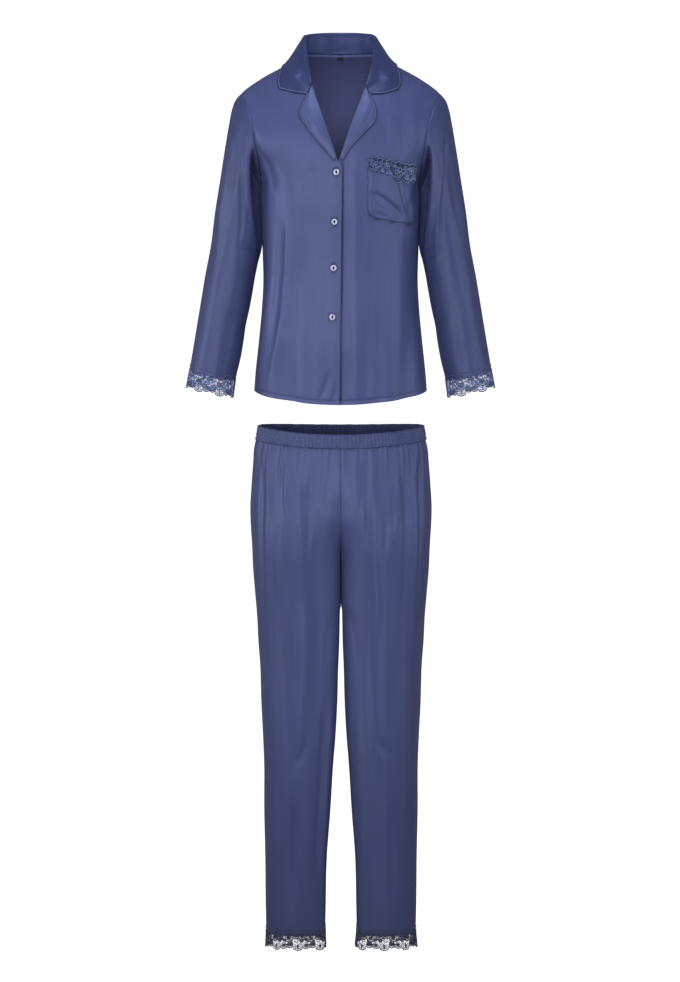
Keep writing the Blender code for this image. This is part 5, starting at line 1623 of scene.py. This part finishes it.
# --- Lace of the trouser hems ------------------------------------------------------
# The same lace as at the cuffs, its colours made much darker as painted shade for the dimmer light at the hems,
# sewn over the hem of each leg with its corded header on the satin and its scallops hanging free.
HEM_LACE_DROP, HEM_LACE_FLARE, HEM_LAP = 27.0, 1.5, 12.0
# Cord and ground colours much darker than the cuff lace's: painted shade.
hem_darkened_cord = lace_thread("hem lace cord, painted shade", (0.020, 0.026, 0.085), 0.65)
hem_darkened_ground = lace_thread("hem lace ground, painted shade", (0.085, 0.10, 0.20), 0.8)


def on_leg(side):
    shares = np.linspace(0, 1, 361)
    front = trouser_form(shares, TROUSER_HEM, side, FRONT)
    back = trouser_form(shares[::-1], TROUSER_HEM, side, BACK)[1:]
    ring = np.concatenate([front, back])
    run = np.concatenate([[0], np.cumsum(np.linalg.norm(np.diff(ring, axis=0), axis=1))])
    turns = np.linspace(0, 2, len(ring))

    def place(along, v, w):
        turn = np.interp(along % 1.0 * run[-1], run, turns)
        ahead = turn <= 1
        share = np.where(ahead, turn, 2 - turn)
        down = v - HEM_LAP
        height = TROUSER_HEM - np.minimum(down, 0)
        front, front_facing = trouser_form(share, height, side, FRONT), trouser_normal(share, height, side, FRONT)
        back, back_facing = trouser_form(share, height, side, BACK), trouser_normal(share, height, side, BACK)
        base = np.where(ahead[:, None], front, back)
        facing = np.where(ahead[:, None], front_facing, back_facing)
        hang = np.clip(down / HEM_LACE_DROP, 0, None)
        flutter = 1.1 * np.sin(turn * math.pi * 8 + side) * hang
        out = w + 0.35 + hang * HEM_LACE_FLARE + flutter
        return base + facing * out[:, None] - np.maximum(down, 0)[:, None] * [0, 0, 1]

    return place


for wearer_side in (RIGHT, LEFT):
    side_name = SIDE_NAMES[wearer_side]
    hem_lace = lace_piece(f"hem_lace_{side_name}", 9, HEM_LACE_DROP + HEM_LAP, on_leg(wearer_side),
                          (hem_darkened_cord, hem_darkened_ground), net_thread=0.56, header=8.0)
    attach(hem_lace, "root")
    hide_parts(f"hem_lace_{side_name}_front", f"hem_lace_{side_name}_back")

# --- Machine stitching -------------------------------------------------------------
# One short thread stitch, copied along the front edge, the hems and the pocket. It sinks
# a little into the satin and is a shade darker.
bpy.ops.object.select_all(action="DESELECT")
bpy.ops.mesh.primitive_uv_sphere_add(segments=6, ring_count=4, radius=1, rotation=(0, math.pi / 2, 0))
stitch_blank = bpy.context.object
bpy.ops.object.transform_apply(location=False, rotation=True, scale=False)
stitch_blank.scale = (1.25 * MM, 0.28 * MM, 0.2 * MM)
bpy.ops.object.transform_apply(location=False, rotation=False, scale=True)
bpy.ops.object.shade_smooth()
stitch_blank.data.materials.append(sewing_thread)
STITCH_PITCH = 3.0


def stitched(name, route, facing):
    """Joins copies of the stitch along a route that lies on the cloth."""
    run = np.concatenate([[0], np.cumsum(np.linalg.norm(np.diff(route, axis=0), axis=1))])
    bpy.ops.object.select_all(action="DESELECT")
    for at in np.arange(STITCH_PITCH / 2, run[-1], STITCH_PITCH):
        here, ahead, up = (Vector([np.interp(at + d, run, line[:, i]) for i in range(3)])
                           for line, d in ((route, 0), (route, 0.5), (facing, 0)))
        along = (ahead - here).normalized()
        if along.length < 0.5:
            continue
        across = up.cross(along).normalized()
        copy = bpy.data.objects.new(name, stitch_blank.data.copy())
        bpy.context.collection.objects.link(copy)
        turn = Matrix((along, across, along.cross(across))).transposed().to_4x4()
        turn.translation = (here + up * 0.1) * MM
        copy.data.transform(turn)
        copy.select_set(True)
        bpy.context.view_layer.objects.active = copy
    bpy.ops.object.join()
    row = bpy.context.object
    row.name = name
    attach(row, "root")
    return row


height = np.linspace(-640, -205, 120)
edge = closure_edge(height)
stitched("closure_stitching", *body_point(edge - 7.0, height, FRONT))
for wearer_side, start in ((RIGHT, 2.0), (LEFT, 4.0)):
    across = np.linspace(start, 158, 90) * wearer_side
    hem = hem_line(across) + 7.5
    stitched(f"front_hem_stitching_{SIDE_NAMES[wearer_side]}", *body_point(across, hem, FRONT))
across = np.linspace(-158, 158, 180)
hem = hem_line(across) + 7.5
stitched("back_hem_stitching", *body_point(across, hem, BACK))
share = np.concatenate([np.linspace(0.03, 1, 30), np.ones(60), np.linspace(1, 0.03, 30)])
across = np.concatenate([np.full(30, 53.6), np.linspace(53.6, 140.2, 60), np.full(30, 140.2)])
share = np.minimum(share, 0.982)
stitched("pocket_stitching", *pocket_point(across, share, 0.15))
# Painted shade on the left front beside the pocket's edges.
shade_beside(front_satins[LEFT], pocket_point(across - 0.6, share + 0.02)[0], 1.8)
for wearer_side in (RIGHT, LEFT):
    for face, face_name in ((FRONT, "front"), (BACK, "back")):
        share = np.linspace(0.02, 0.98, 70)
        route = trouser_form(share, TROUSER_HEM + 9.0, wearer_side, face)
        facing = trouser_normal(share, TROUSER_HEM + 9.0, wearer_side, face)
        stitched(f"trouser_hem_stitching_{face_name}_{SIDE_NAMES[wearer_side]}", route, facing)
bpy.data.objects.remove(stitch_blank, do_unlink=True)
